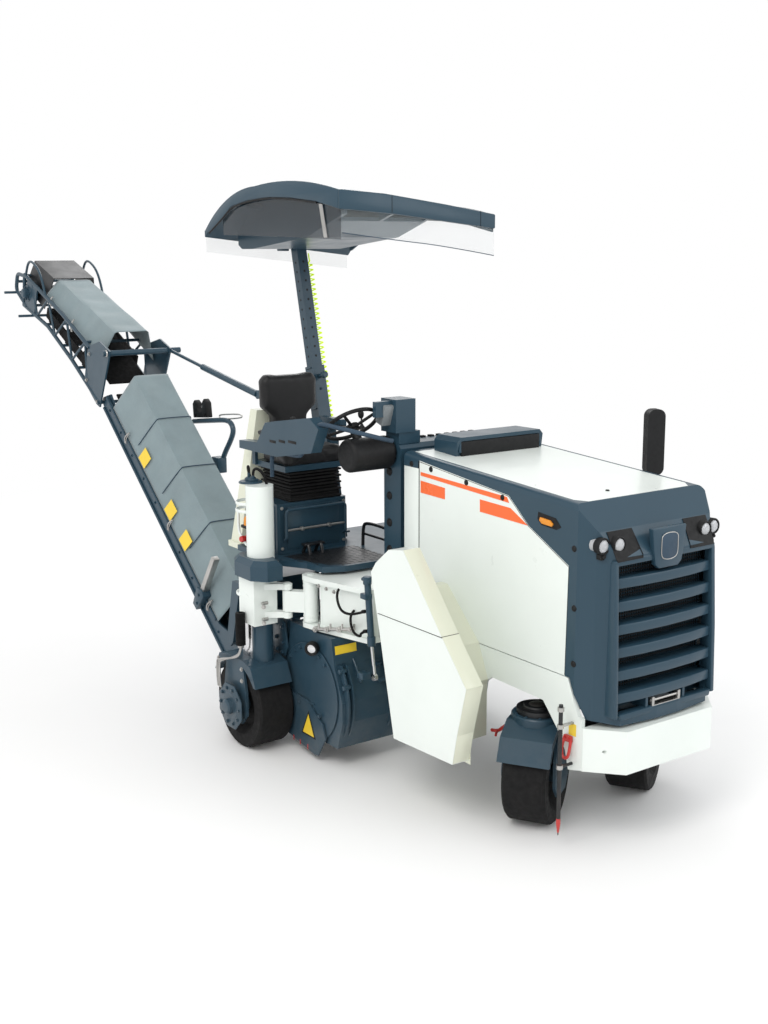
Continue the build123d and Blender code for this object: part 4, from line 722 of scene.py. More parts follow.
# ---------------------------------------------------------------- milling housing, right side
DRUM_X, DRUM_Z = 0.450, 0.458
disc = Shape("drum_disc", "machine", slate_enamel, "slate_paint")
disc.lathe(((0.0, 0.0012), (0.326, 0.0012), (0.330, -0.002), (0.0, -0.002)), (DRUM_X, -1.0022, DRUM_Z), RIGHT, 72)
upper_bolts = [p for p in circle_of((DRUM_X, -1.0024, DRUM_Z), RIGHT, 0.300, 24, 0.1) if p.z > 0.635]
disc.bolts(upper_bolts, RIGHT, 0.0115, 0.014)
disc.plate([(0.020, -1.0, 0.625), (0.150, -1.0, 0.625), (0.185, -1.0, 0.70), (0.150, -1.0, 0.86), (0.060, -1.0, 0.90),
            (0.010, -1.0, 0.84)], (0, -0.014, 0), soft=0.003)
disc.bolts([(0.045, -1.014, 0.84), (0.130, -1.014, 0.83), (0.045, -1.014, 0.74), (0.135, -1.014, 0.72),
            (0.055, -1.014, 0.655), (0.125, -1.014, 0.65)], RIGHT, 0.013, 0.014)
disc.done()

fronts = Shape("housing_front_fittings", "machine", slate_enamel, "slate_paint")
for k in range(5):
    angle = radians(18 + 16 * k)
    radius = 0.372 + 0.018
    x, z = DRUM_X + radius * cos(angle), DRUM_Z + radius * sin(angle)
    fronts.rod((x, -0.985, z), (x, -0.93, z), 0.016, sides=14, soft=0.003)
    fronts.rod((x, -0.70, z), (x, -0.66, z), 0.016, sides=14, soft=0.003)
fronts.pipe([(DRUM_X + 0.385 * cos(radians(a)), -0.84, DRUM_Z + 0.385 * sin(radians(a))) for a in (20, 35, 50, 65, 80)],
            0.010)
fronts.done()
housing_sign = Shape("housing_plate_blank", "machine", yellow_enamel, "white_paint")
housing_sign.plate([(0.7215, -0.975, 0.775), (0.7215, -0.810, 0.775), (0.7130, -0.810, 0.830), (0.7130, -0.975, 0.830)],
                   (0.0016, 0, 0.0003))
housing_sign.done()

# blank triangle with its black border on the side plate
warn = Shape("side_plate_triangle_blank", "side_plate", yellow_enamel, "white_paint")
warn_edge = Shape("side_plate_triangle_edge", "side_plate", black_mould, "black_plastic")
FACE = -1.0205
warn_edge.plate([(0.455, FACE, 0.325), (0.365, FACE, 0.150), (0.540, FACE, 0.150)], (0, -0.0012, 0))
warn.plate([(0.455, FACE - 0.0012, 0.303), (0.383, FACE - 0.0012, 0.161), (0.522, FACE - 0.0012, 0.161)],
           (0, -0.0012, 0))
warn.done()
warn_edge.done()
marks = Shape("side_plate_marks", "side_plate", red_enamel, "grey_paint")
for x, z in ((0.262, 0.078), (0.345, 0.072), (0.440, 0.066)):
    marks.plate([(x - 0.005, FACE, z - 0.016), (x + 0.005, FACE, z - 0.016), (x + 0.005, FACE, z + 0.020),
                 (x - 0.005, FACE, z + 0.020)], (0, -0.001, 0))
marks.done()
runner = Shape("side_plate_stiffener", "side_plate", slate_enamel, "slate_paint")
runner.bolts([(0.120, -1.020, 0.33), (0.590, -1.020, 0.33), (0.350, -1.020, 0.365)], RIGHT, 0.011, 0.012)
runner.done()

work_lamp = Shape("drum_work_lamp", "machine", black_mould, "black_plastic")
work_lamp.lathe(((0.0, 0.006), (0.030, 0.004), (0.034, 0.016), (0.044, 0.016), (0.047, 0.0), (0.044, -0.03),
                 (0.022, -0.052), (0.0, -0.052)), (0.545, -1.045, 0.785), (0.55, -0.83, -0.1), 32)
work_lamp.rod((0.530, -1.0, 0.790), (0.538, -1.035, 0.788), 0.010, sides=14)
work_lamp.done()
work_glass = Shape("drum_work_lamp_glass", "machine", chromed_rod, "lamp")
work_glass.lathe(((0.0, 0.012), (0.02, 0.010), (0.031, 0.005), (0.031, 0.002), (0.0, 0.002)), (0.547, -1.048, 0.785),
                 (0.55, -0.83, -0.1), 28)
work_glass.done()

# manifold bar with its fittings on the bracket's face
manifold = Shape("valve_manifold", "machine", plated_steel, "grey_paint")
bar_start, bar_end = Vector((0.515, -1.006, 0.905)), Vector((0.840, -0.905, 0.965))
manifold.rod(bar_start, bar_end, 0.012, sides=18)
for k in range(4):
    place = bar_start.lerp(bar_end, 0.06 + 0.29 * k)
    out = Vector((0.25, -0.97, 0)) * 0.018
    manifold.rod(place - out * 0.9, place + out, 0.019, sides=22, soft=0.003)
    manifold.rod(place + out, place + out * 1.5, 0.012, sides=6, soft=0.0015)
    manifold.rod(place + Vector((0.03, 0, 0.01)), place + Vector((0.03, 0, 0.042)), 0.008, sides=6)
manifold.done()

# slim lift cylinder between the bracket's end and the front of the housing
ram = Shape("front_lift_cylinder", "machine", slate_enamel, "slate_paint")
RAM_TOP, RAM_GLAND = Vector((0.995, -0.910, 1.325)), Vector((0.992, -0.880, 0.920))
RAM_EYE = Vector((0.975, -0.845, 0.690))
ram.rod(RAM_TOP, RAM_GLAND, 0.0215, sides=28, soft=0.003)
ram.rod(RAM_GLAND + Vector((0, 0, 0.03)), RAM_GLAND - Vector((0, 0, 0.03)), 0.027, sides=28, soft=0.003)
ram.rod(RAM_TOP + Vector((0, 0, 0.02)), RAM_TOP - Vector((0, 0, 0.03)), 0.027, sides=28, soft=0.003)
ram.box((0.955, -0.94, 1.20), (1.015, -0.885, 1.235), soft=0.005)
ram.rod((0.945, -0.912, 1.32), (1.030, -0.912, 1.32), 0.012, sides=18, soft=0.002)
ram.box((0.90, -0.93, 0.662), (0.965, -0.87, 0.705), soft=0.005)
ram.done()
ram_rod = Shape("front_lift_rod", "machine", chromed_rod, "grey_paint")
ram_rod.rod(RAM_GLAND, RAM_EYE, 0.0105, sides=24)
ram_rod.lathe(((0.011, -0.012), (0.023, -0.012), (0.023, 0.012), (0.011, 0.012), (0.011, -0.012)),
              RAM_EYE - Vector((0, 0, 0.02)), RIGHT, 28)
ram_rod.done()
for k, (start, end) in enumerate((((0.700, -0.915, 1.215), (0.970, -0.915, 1.115)),
                                  ((0.800, -0.880, 1.075), (0.972, -0.905, 0.985)))):
    hose = Shape(f"front_lift_hose_{k}", "machine", soft_rubber, "rubber")
    (x0, y0, z0), (x1, y1, z1) = start, end
    hose.pipe([(x0, y0, z0), (x0 + 0.012, y0 - 0.045, z0 - 0.02), (x0 + 0.07, y0 - 0.06, z0 - 0.12),
               (x0 + 0.15, y0 - 0.05, z1 - 0.04), (x1 - 0.04, y1 - 0.02, z1 - 0.02), (x1, y1, z1)], 0.0085)
    hose.rod((x1 - 0.02, y1 - 0.004, z1 - 0.006), (x1 + 0.008, y1, z1 + 0.002), 0.012, sides=6)
    hose.done()

# ---------------------------------------------------------------- arm, bracket and clamp on the right leg
fixings = Shape("bracket_bolts", "machine", plated_steel, "grey_paint")
fixings.bolts([(0.58 + 0.09 * k, -1.005, 1.21) for k in range(3)], RIGHT, 0.010, 0.011)
fixings.done()
eyes = Shape("arm_pivot_caps", "swing_arm", white_enamel, "white_paint")
for z, way in ((1.2005, 1), (0.9245, -1)):
    eyes.lathe(((0.0, 0.010), (0.030, 0.010), (0.036, 0.004), (0.049, 0.003), (0.052, -0.002), (0.052, -0.014),
                (0.049, -0.016)), (0.393, -0.950, z), (0, 0, way), 40)
for z in (1.165, 0.96):
    eyes.lathe(((0.0495, -0.004), (0.0525, -0.004), (0.0525, 0.004), (0.0495, 0.004), (0.0495, -0.004)),
               (0.393, -0.950, z), TOP, 40)
eyes.done()
LEG_X, LEG_Y = 0.0, -1.164
chrome_leg = Shape("leg_inner_tube", "leg_right", chromed_rod, "grey_paint")
chrome_leg.lathe(((0.070, 0.0), (0.0795, 0.0), (0.0795, 0.27), (0.070, 0.27), (0.070, 0.0)),
                 (LEG_X, LEG_Y, 0.640), TOP, 48)
chrome_leg.done()
collar = Shape("leg_clamp_rings", "leg_carrier", white_enamel, "white_paint")
for z, grow in ((1.690, 0.0), (1.640, 0.002), (1.07, 0.010), (0.90, 0.012)):
    collar.lathe(((0.0985, -0.010), (0.1015 + grow, -0.010), (0.104 + grow, -0.006), (0.104 + grow, 0.006),
                  (0.1015 + grow, 0.010), (0.0985, 0.010), (0.0985, -0.010)), (LEG_X, LEG_Y, z), TOP, 48)
collar.done()
cap = Shape("leg_cylinder_cap", "leg_carrier", slate_enamel, "slate_paint")
cap.lathe(((0.0, 0.035), (0.030, 0.035), (0.036, 0.028), (0.036, 0.012), (0.070, 0.010), (0.078, 0.004), (0.080, 0.0),
           (0.080, -0.003), (0.0, -0.003)), (LEG_X, LEG_Y, 1.824), TOP, 36)
cap.rod((LEG_X - 0.02, LEG_Y, 1.845), (LEG_X - 0.02, LEG_Y, 1.885), 0.012, sides=6)
cap.rod((LEG_X + 0.035, LEG_Y, 1.835), (LEG_X + 0.035, LEG_Y, 1.872), 0.012, sides=6)
cap.box((LEG_X - 0.03, LEG_Y - 0.03, 1.83), (LEG_X + 0.05, LEG_Y + 0.03, 1.852))
cap.done()
for k, (x, reach) in enumerate(((-0.02, -0.075), (0.035, 0.085))):
    hose = Shape(f"leg_hose_{k}", "leg_carrier", soft_rubber, "rubber")
    hose.pipe([(LEG_X + x, LEG_Y, 1.875), (LEG_X + x, LEG_Y, 1.905), (LEG_X + x + reach * 0.35, LEG_Y + 0.01, 1.928),
               (LEG_X + x + reach * 0.9, LEG_Y + 0.03, 1.90), (LEG_X + x + reach, LEG_Y + 0.05, 1.84),
               (LEG_X + x + reach * 0.9, LEG_Y + 0.07, 1.76), (LEG_X + x + reach * 0.6, LEG_Y + 0.085, 1.70)], 0.0095)
    hose.done()
box_seams = Shape("leg_clamp_pins", "leg_carrier", plated_steel, "grey_paint")
for z in (1.05, 0.94):
    box_seams.rod((0.235, -1.23, z), (0.235, -1.19, z), 0.012, sides=16)
box_seams.bolts([(0.28, -1.245, z) for z in (0.93, 1.04)], (0.7, -0.7, 0), 0.011, 0.012)
box_seams.done()

# hub motor plate, corrugated hose sleeve and steel pipes of the right rear leg
motor = Shape("hub_motor_plate_right", "leg_right", slate_enamel, "slate_paint")
HUB = (0.0, -1.355, 0.300)
octagon = [(HUB[0] + 0.165 * cos(radians(22.5 + 45 * k)), -1.354, HUB[2] + 0.165 * sin(radians(22.5 + 45 * k)))
           for k in range(8)]
motor.plate(octagon, (0, -0.010, 0), soft=0.003)
motor.lathe(((0.0, 0.040), (0.04, 0.038), (0.052, 0.028), (0.055, 0.0), (0.095, 0.0), (0.100, -0.004), (0.0, -0.004)),
            (HUB[0], -1.3655, HUB[2]), RIGHT, 36)
motor.bolts(circle_of((HUB[0], -1.364, HUB[2]), RIGHT, 0.125, 10), RIGHT, 0.011, 0.012)
motor.done()
sleeve = Shape("leg_hose_sleeve", "leg_right", soft_rubber, "rubber")
SLEEVE_FOLD = 0.0078
profile = []
for k in range(29):
    z = SLEEVE_FOLD * k
    profile += [(0.030, z), (0.0335, z + 0.002), (0.0335, z + 0.0045), (0.030, z + 0.0065)]
sleeve.lathe([(0.012, 0.0)] + profile + [(0.012, 0.226)], (0.080, -1.312, 0.742), TOP, 22)
sleeve.done()
pipes = Shape("leg_steel_pipes", "leg_right", plated_steel, "grey_paint")
for k in range(3):
    x, y = 0.066 + 0.014 * k, -1.312 - 0.006 * (k - 1)
    pipes.pipe([(x, y, 0.75), (x, y - 0.002, 0.69), (x - 0.02, y - 0.03, 0.655),
                (-0.10 - 0.020 * k, -1.362 - 0.003 * k, 0.600), (-0.125 - 0.020 * k, -1.368, 0.58),
                (-0.125 - 0.020 * k, -1.368, 0.44), (-0.115 - 0.02 * k, -1.366, 0.40)], 0.0065)
pipes.rod((0.080, -1.312, 0.725), (0.080, -1.312, 0.745), 0.024, sides=6, soft=0.002)
pipes.done()
fork_cover = Shape("right_fork_bolts", "leg_right", plated_steel, "grey_paint")
fork_cover.bolts([(x, -1.356, z) for x, z in ((-0.16, 0.52), (0.16, 0.52), (-0.16, 0.60), (0.16, 0.60))], RIGHT, 0.011)
fork_cover.done()
left_motor = Shape("hub_motor_plate_left", "leg_left", slate_enamel, "slate_paint")
left_motor.plate([(0.165 * cos(radians(22.5 + 45 * k)), 0.632, 0.3 + 0.165 * sin(radians(22.5 + 45 * k)))
                  for k in range(8)][::-1], (0, 0.010, 0), soft=0.003)
left_motor.bolts(circle_of((0, 0.642, 0.3), (0, 1, 0), 0.125, 10), (0, 1, 0), 0.011, 0.012)
left_motor.done()

# ---------------------------------------------------------------- rear corner
amber = Shape("rear_corner_marker", "machine", amber_lens, "lamp")
amber.lathe(((0.0, 0.066), (0.022, 0.062), (0.030, 0.048), (0.032, 0.0), (0.0, 0.0)), (-0.24, -1.055, 1.475), TOP, 24)
amber.done()
amber_seat = Shape("rear_marker_seat", "machine", black_mould, "black_plastic")
amber_seat.box((-0.285, -1.09, 1.455), (-0.195, -1.02, 1.476))
amber_seat.done()
red_piece = Shape("rear_isolator", "machine", red_enamel, "grey_paint")
red_piece.lathe(((0.0, 0.05), (0.02, 0.048), (0.024, 0.03), (0.018, 0.0), (0.03, -0.01), (0.03, -0.05), (0.0, -0.05)),
                (-0.265, -1.06, 1.375), (0.2, -1, 0.1), 20)
red_piece.done()
loop = Shape("rear_grab_loop", "machine", white_enamel, "white_paint")
loop.pipe([(-0.325, -1.0, 1.60), (-0.325, -1.075, 1.60), (-0.325, -1.085, 1.585), (-0.325, -1.085, 1.43),
           (-0.30, -1.085, 1.40), (-0.235, -1.085, 1.345), (-0.225, -1.06, 1.33), (-0.225, -1.0, 1.33)], 0.009)
loop.done()

# ---------------------------------------------------------------- operator's place
tread = Shape("floor_tread_plate", "machine", black_enamel, "black_paint")
for row in range(13):
    for column in range(13):
        x, y = 0.09 + 0.034 * column, -0.94 + 0.045 * row
        if x < 0.50 and not (x > 0.40 and y < -0.80) and not (x > 0.28 and y < -0.90):
            spin = 45 if (row + column) % 2 else -45
            tread.box((x - 0.013, y - 0.0035, 1.3), (x + 0.013, y + 0.0035, 1.3028), soft=0, spin=(spin, "Z"))
tread.done()
mat = Shape("floor_mat_0", "machine", black_enamel, "black_paint")
mat.plate([(0.07, -0.965, 1.2995), (0.30, -0.90, 1.2995), (0.45, -0.85, 1.2995), (0.51, -0.72, 1.2995),
           (0.53, -0.40, 1.2995), (0.07, -0.40, 1.2995)], (0, 0, 0.0012))
mat.done()
step = Shape("seat_step_bracket", "machine", black_enamel, "black_paint")
for y in (-0.80, -0.70):
    step.pipe([(0.06, y, 1.302), (0.09, y, 1.36), (0.125, y, 1.375), (0.145, y, 1.33), (0.15, y, 1.305)], 0.012)
step.box((0.085, -0.83, 1.362), (0.135, -0.67, 1.378))
step.done()
rail = Shape("floor_low_rail", "machine", black_enamel, "black_paint")
rail.pipe([(0.10, -0.33, 1.30), (0.10, -0.33, 1.43), (0.14, -0.33, 1.47), (0.42, -0.33, 1.47), (0.46, -0.33, 1.43),
           (0.46, -0.33, 1.30)], 0.012)
rail.pipe([(0.10, -0.33, 1.385), (0.46, -0.33, 1.385)], 0.009)
rail.done()
clips = Shape("seat_box_cross_rail", "machine", plated_steel, "grey_paint")
clips.pipe([(0.054, -0.925, 1.47), (0.054, -0.447, 1.47)], 0.009)
for y in (-0.80, -0.58):
    clips.box((0.038, y - 0.012, 1.458), (0.066, y + 0.012, 1.482), soft=0.002)
clips.bolts([(0.021, y, z) for y in (-0.94, -0.44) for z in (1.34, 1.62)], FRONT, 0.009)
clips.done()
panel = Shape("seat_box_panel", "machine", slate_enamel, "slate_paint")
panel.box((0.018, -0.90, 1.33), (0.025, -0.48, 1.625), soft=0.003)
panel.box((-0.36, -0.9745, 1.33), (-0.02, -0.969, 1.63), soft=0.0025)
panel.done()
folds = Shape("seat_bellows_folds", "machine", soft_rubber, "rubber")
for k in range(9):
    z = 1.655 + 0.0228 * k
    grow = 0.012 if k % 2 == 0 else 0.002
    folds.box((-0.378 - grow, -0.853 - grow, z), (-0.002 + grow, -0.457 + grow, z + 0.015), soft=0.006)
folds.done()


# seat pads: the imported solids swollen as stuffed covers
def swollen(name, source, cap_reach, shrink, rounding, pressure=4.0, voxel=0.006):
    pad_mesh = node[source].data.copy()
    pad_mesh.name = name
    work = bmesh.new()
    work.from_mesh(pad_mesh)
    bmesh.ops.remove_doubles(work, verts=work.verts, dist=0.0001)
    low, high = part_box(source)
    middle, size = (low + high) / 2, high - low
    factors = Vector([1 - 2 * shrink / side for side in size])
    bmesh.ops.scale(work, vec=factors, space=Matrix.Translation(-middle), verts=work.verts)
    work.to_mesh(pad_mesh)
    work.free()
    pad = bpy.data.objects.new(name, pad_mesh)
    bpy.context.scene.collection.objects.link(pad)
    remesh = pad.modifiers.new("even", "REMESH")
    remesh.mode, remesh.voxel_size = "VOXEL", voxel
    settle(pad)
    rest = [v.co.copy() for v in pad.data.vertices]
    cloth = pad.modifiers.new("stuffing", "CLOTH")
    cloth.settings.use_pressure = True
    cloth.settings.uniform_pressure_force = pressure
    cloth.settings.effector_weights.gravity = 0
    cloth.point_cache.frame_start, cloth.point_cache.frame_end = 1, 20
    for step in range(1, 21):
        bpy.context.scene.frame_set(step)
    settle(pad)
    bpy.context.scene.frame_set(1)
    for v, start in zip(pad.data.vertices, rest):
        move = v.co - start
        if move.length > cap_reach:
            v.co = start + move.normalized() * cap_reach
    soft = bmesh.new()
    soft.from_mesh(pad.data)
    for _ in range(rounding):
        bmesh.ops.smooth_vert(soft, verts=soft.verts, factor=0.5, use_axis_x=True, use_axis_y=True, use_axis_z=True)
    for face in soft.faces:
        face.smooth = True
    soft.to_mesh(pad.data)
    soft.free()
    finer = pad.modifiers.new("finer", "SUBSURF")
    finer.levels = finer.render_levels = 1
    pad.data.materials.clear()
    pad.data.materials.append(seat_vinyl)
    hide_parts(source)
    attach(pad, "machine")
    return pad


def settle(piece):
    """Apply every modifier on a piece."""
    ready = bpy.data.meshes.new_from_object(piece.evaluated_get(bpy.context.evaluated_depsgraph_get()))
    piece.modifiers.clear()
    piece.data = ready


swollen("seat_cushion_pad", "seat_cushion", 0.016, 0.007, 10)
swollen("seat_back_pad", "seat_back", 0.016, 0.006, 22)

# consoles beside the seat: hand rests, levers, a screen and slots
rests = Shape("console_hand_rests", "machine", black_mould, "black_plastic")
for y in (-0.955, -0.415):
    rests.box((-0.20, y - 0.038, 2.105), (0.12, y + 0.038, 2.137), soft=0.014)
rests.done()
levers = Shape("console_levers", "machine", black_mould, "black_plastic")
for x, y in ((0.22, -0.955), (0.34, -0.955), (0.22, -0.415)):
    levers.lathe(((0.030, 0.0), (0.026, 0.012), (0.017, 0.022), (0.010, 0.032), (0.007, 0.04), (0.0, 0.04)),
                 (x, y, 2.140), TOP, 20)
    levers.rod((x, y, 2.17), (x - 0.008, y, 2.235), 0.006, sides=12)
    levers.lathe(((0.0, 0.052), (0.014, 0.050), (0.021, 0.036), (0.020, 0.016), (0.011, 0.0), (0.0, 0.0)),
                 (x - 0.008, y, 2.215), (-0.1, 0, 1), 20)
levers.done()
screen = Shape("monitor_case", "machine", grey_enamel, "grey_paint")
screen.box((0.655, -0.60, 2.235), (0.735, -0.43, 2.375), soft=0.012, spin=(18, "Y"))
screen.box((0.61, -0.47, 2.11), (0.70, -0.40, 2.245), soft=0.01)
screen.done()
slots = Shape("dash_slots", "machine", black_mould, "black_plastic")
for k in range(3):
    for z in (1.62, 1.45):
        slots.box((0.5375, -0.44 + 0.09 * k, z), (0.5402, -0.40 + 0.09 * k, z + 0.04), soft=0.001)
for z in (1.92, 1.76, 1.58, 1.40):
    slots.lathe(((0.0, 0.012), (0.02, 0.011), (0.026, 0.005), (0.028, 0.0), (0.0, 0.0)), (0.662, -0.5, z), RIGHT, 20)
slots.done()
grab = Shape("dash_grab_tube", "machine", slate_mould, "slate_paint")
grab.pipe([(-0.043, -0.972, 1.834), (-0.040, -0.975, 1.97), (-0.02, -0.975, 2.012), (0.30, -0.975, 2.018),
           (0.352, -0.975, 2.035), (0.53, -0.975, 2.235), (0.57, -0.965, 2.258), (0.63, -0.93, 2.25),
           (0.80, -0.69, 2.175), (0.83, -0.64, 2.160), (0.835, -0.60, 2.150)], 0.0145)
grab.done()
console_edge = Shape("console_slots", "machine", black_mould, "black_plastic")
for x0, x1, z in ((-0.02, 0.06, 2.075), (0.10, 0.18, 2.09), (0.22, 0.32, 2.10)):
    console_edge.box((x0, -1.0015, z), (x1, -0.9985, z + 0.018), soft=0.0008)
console_edge.done()
buttons_row = Shape("dash_switches", "machine", black_mould, "black_plastic")
for k in range(8):
    buttons_row.box((0.565, -0.26 + 0.07 * k, 2.109), (0.60, -0.225 + 0.07 * k, 2.121), soft=0.003)
buttons_row.done()

# scoop: dark mouth and its rim
mouth = Shape("scoop_mouth", "hood", black_mould, "black_plastic")
mouth.box((0.985, -0.27, 2.088), (1.085, 0.37, 2.146), soft=0.004)
mouth.done()
sill = Shape("scoop_mouth_sill", "hood", black_mould, "black_plastic")
sill.box((1.120, -0.278, 2.056), (1.133, 0.378, 2.150), soft=0.003)
sill.done()
lip = Shape("scoop_lip", "hood", slate_enamel, "slate_paint")
lip.pipe([(1.128, -0.285, 2.082), (1.122, -0.285, 2.150), (1.115, -0.255, 2.160), (1.115, 0.355, 2.160),
          (1.122, 0.385, 2.150), (1.128, 0.385, 2.082)], 0.008)
lip.done()

# mast: rows of holes, the lock bracket and cable clips
LEAN = radians(MAST_LEAN)
MAST_FOOT, MAST_Y = -0.190, -0.350


def on_mast(along, ahead=0.0, aside=0.0):
    """A point on the leaning mast: up it, ahead of its middle and to its left."""
    return (MAST_FOOT - along * sin(LEAN) + ahead * cos(LEAN), MAST_Y + aside,
            1.3 + along * cos(LEAN) + ahead * sin(LEAN))


MAST_AHEAD = (cos(LEAN), 0, sin(LEAN))
holes = Shape("mast_holes", "canopy", black_mould, "black_plastic")
for k in range(11):
    along = 1.32 + 0.068 * k
    holes.rod(on_mast(along, 0.039), on_mast(along, 0.0404), 0.0085, sides=16)
    holes.rod(on_mast(along, 0, -0.039), on_mast(along, 0, -0.0404), 0.0085, sides=16)
holes.done()
lock = Shape("mast_lock", "machine", slate_enamel, "slate_paint")
lock.rod(on_mast(1.17, 0.045), on_mast(1.17, 0.10), 0.016, sides=24, soft=0.003)
lock.rod(on_mast(1.17, 0.10), on_mast(1.17, 0.13), 0.024, sides=20, soft=0.005)
for along in (0.30, 0.62, 0.94, 1.235):
    for aside in (-0.0515, 0.0515):
        lock.rod(on_mast(along, -0.03, aside), on_mast(along, 0.03, aside), 0.006, sides=10)
lock.bolts([on_mast(0.12 + 0.24 * k, 0.052) for k in range(5)], MAST_AHEAD, 0.009)
lock.done()

# canopy: side fascia, joints, side glass with a painted highlight strip, ribs under the roof


def arc_through(a, b, c, steps):
    """Points of the arc through three points of an upright plane."""
    (ax, az), (bx, bz), (cx, cz) = a, b, c
    d = 2 * (ax * (bz - cz) + bx * (cz - az) + cx * (az - bz))
    sa, sb, sc = ax * ax + az * az, bx * bx + bz * bz, cx * cx + cz * cz
    ox = (sa * (bz - cz) + sb * (cz - az) + sc * (az - bz)) / d
    oz = (sa * (cx - bx) + sb * (ax - cx) + sc * (bx - ax)) / d
    radius = sqrt((ax - ox) ** 2 + (az - oz) ** 2)
    line = []
    for k in range(steps + 1):
        x = ax + (cx - ax) * k / steps
        line.append((x, oz + sqrt(max(0.0, radius ** 2 - (x - ox) ** 2))))
    return line


crown = arc_through((-0.860, 3.470), (-0.560, 3.662), (-0.150, 3.748), 8) + arc_through(
    (-0.150, 3.748), (0.350, 3.760), (0.842, 3.690), 10)[1:]
under = [(0.842, 3.580), (0.60, 3.628), (0.30, 3.660), (0.017, 3.673), (-0.25, 3.660), (-0.475, 3.628), (-0.62, 3.545),
         (-0.80, 3.462)]
fascia = Shape("canopy_side_fascia", "canopy", slate_enamel, "slate_paint")
for y, lift, inwards in ((-1.0005, 0.0, 0.016), (0.2045, -0.132, -0.016)):
    fascia.plate([(x, y, z + lift + 0.002) for x, z in crown] + [(x, y, z + lift) for x, z in under],
                 (0, inwards, 0), soft=0.005)
fascia.plate([(0.838, y, z) for y, z in ((-1.0, 3.694), (-0.672, 3.675), (-0.2, 3.618), (0.205, 3.562), (0.205, 3.470),
                                         (-0.2, 3.512), (-0.596, 3.552), (-1.0, 3.578))], (0.024, 0, 0), soft=0.009)
fascia.plate([(-0.868, y, z) for y, z in ((-1.0, 3.476), (0.205, 3.344), (0.205, 3.300), (-1.0, 3.430))],
             (0.016, 0, 0), soft=0.005)
fascia.done()
seam_lines = Shape("canopy_fascia_joints", "canopy", black_mould, "black_plastic")
for y, z in ((-0.62, 3.61), (0.08, 3.53)):
    seam_lines.rod((0.8622, y, z - 0.052), (0.8622, y, z + 0.052), 0.0018, sides=8)
seam_lines.pipe([(x + 0.004, -1.0, z - 0.006) for x, z in under[1:]], 0.006)
seam_lines.done()
side_glass = Shape("canopy_side_glass", "canopy", smoked_sheet, "clear_sheet")
side_glass.plate([(x, -0.9835, z) for x, z in under[:7] + [(-0.62, 3.44), (0.2, 3.42), (0.842, 3.40)]],
                 (0, 0.003, 0))
side_glass.done()
# painted highlight: a bright plated strip slanting across the dark side glass
side_glass_highlight = Shape("canopy_side_glass_highlight", "canopy", plated_steel, "grey_paint")
side_glass_highlight.plate([(x, -0.988, z) for x, z in ((0.615, 3.615), (0.655, 3.611), (0.705, 3.413), (0.668, 3.413))],
                (0, -0.004, 0))
side_glass_highlight.done()
skirt_edge = Shape("canopy_skirt_edge", "canopy", slate_mould, "clear_sheet")
skirt_edge.pipe([(0.846, -0.975, 3.440), (0.846, -0.62, 3.400), (0.846, -0.20, 3.362), (0.846, 0.205, 3.300)], 0.0028)
skirt_edge.done()
roof_ribs = Shape("canopy_roof_ribs", "canopy", slate_enamel, "slate_paint")
for x, z in ((-0.45, 3.655), (0.02, 3.70), (0.48, 3.69)):
    roof_ribs.rod((x, -0.96, z - 0.012), (x, 0.19, z - 0.138), 0.022, sides=10)
roof_ribs.done()
holder = Shape("cable_holder", "canopy", slate_enamel, "slate_paint")
holder.box((-0.79, -0.46, 3.33), (-0.70, -0.41, 3.395), soft=0.005)
holder.done()

# ---------------------------------------------------------------- loading conveyor
PITCH, UPPER = radians(39), radians(25)
BELT_Y = -0.750
PIN = (-0.6 - 2.848 * cos(PITCH), 0.285 + 2.848 * sin(PITCH))


def on_lower(s, h, y=0.0):
    """Lower conveyor: up its side rail, above it, to the left of its middle."""
    return (-0.6 - s * cos(PITCH) + h * sin(PITCH), BELT_Y + y, 0.285 + s * sin(PITCH) + h * cos(PITCH))


def on_upper(s, h, y=0.0):
    """Upper conveyor, from the fold pin."""
    return (PIN[0] - s * cos(UPPER) + h * sin(UPPER), BELT_Y + y, PIN[1] + s * sin(UPPER) + h * cos(UPPER))


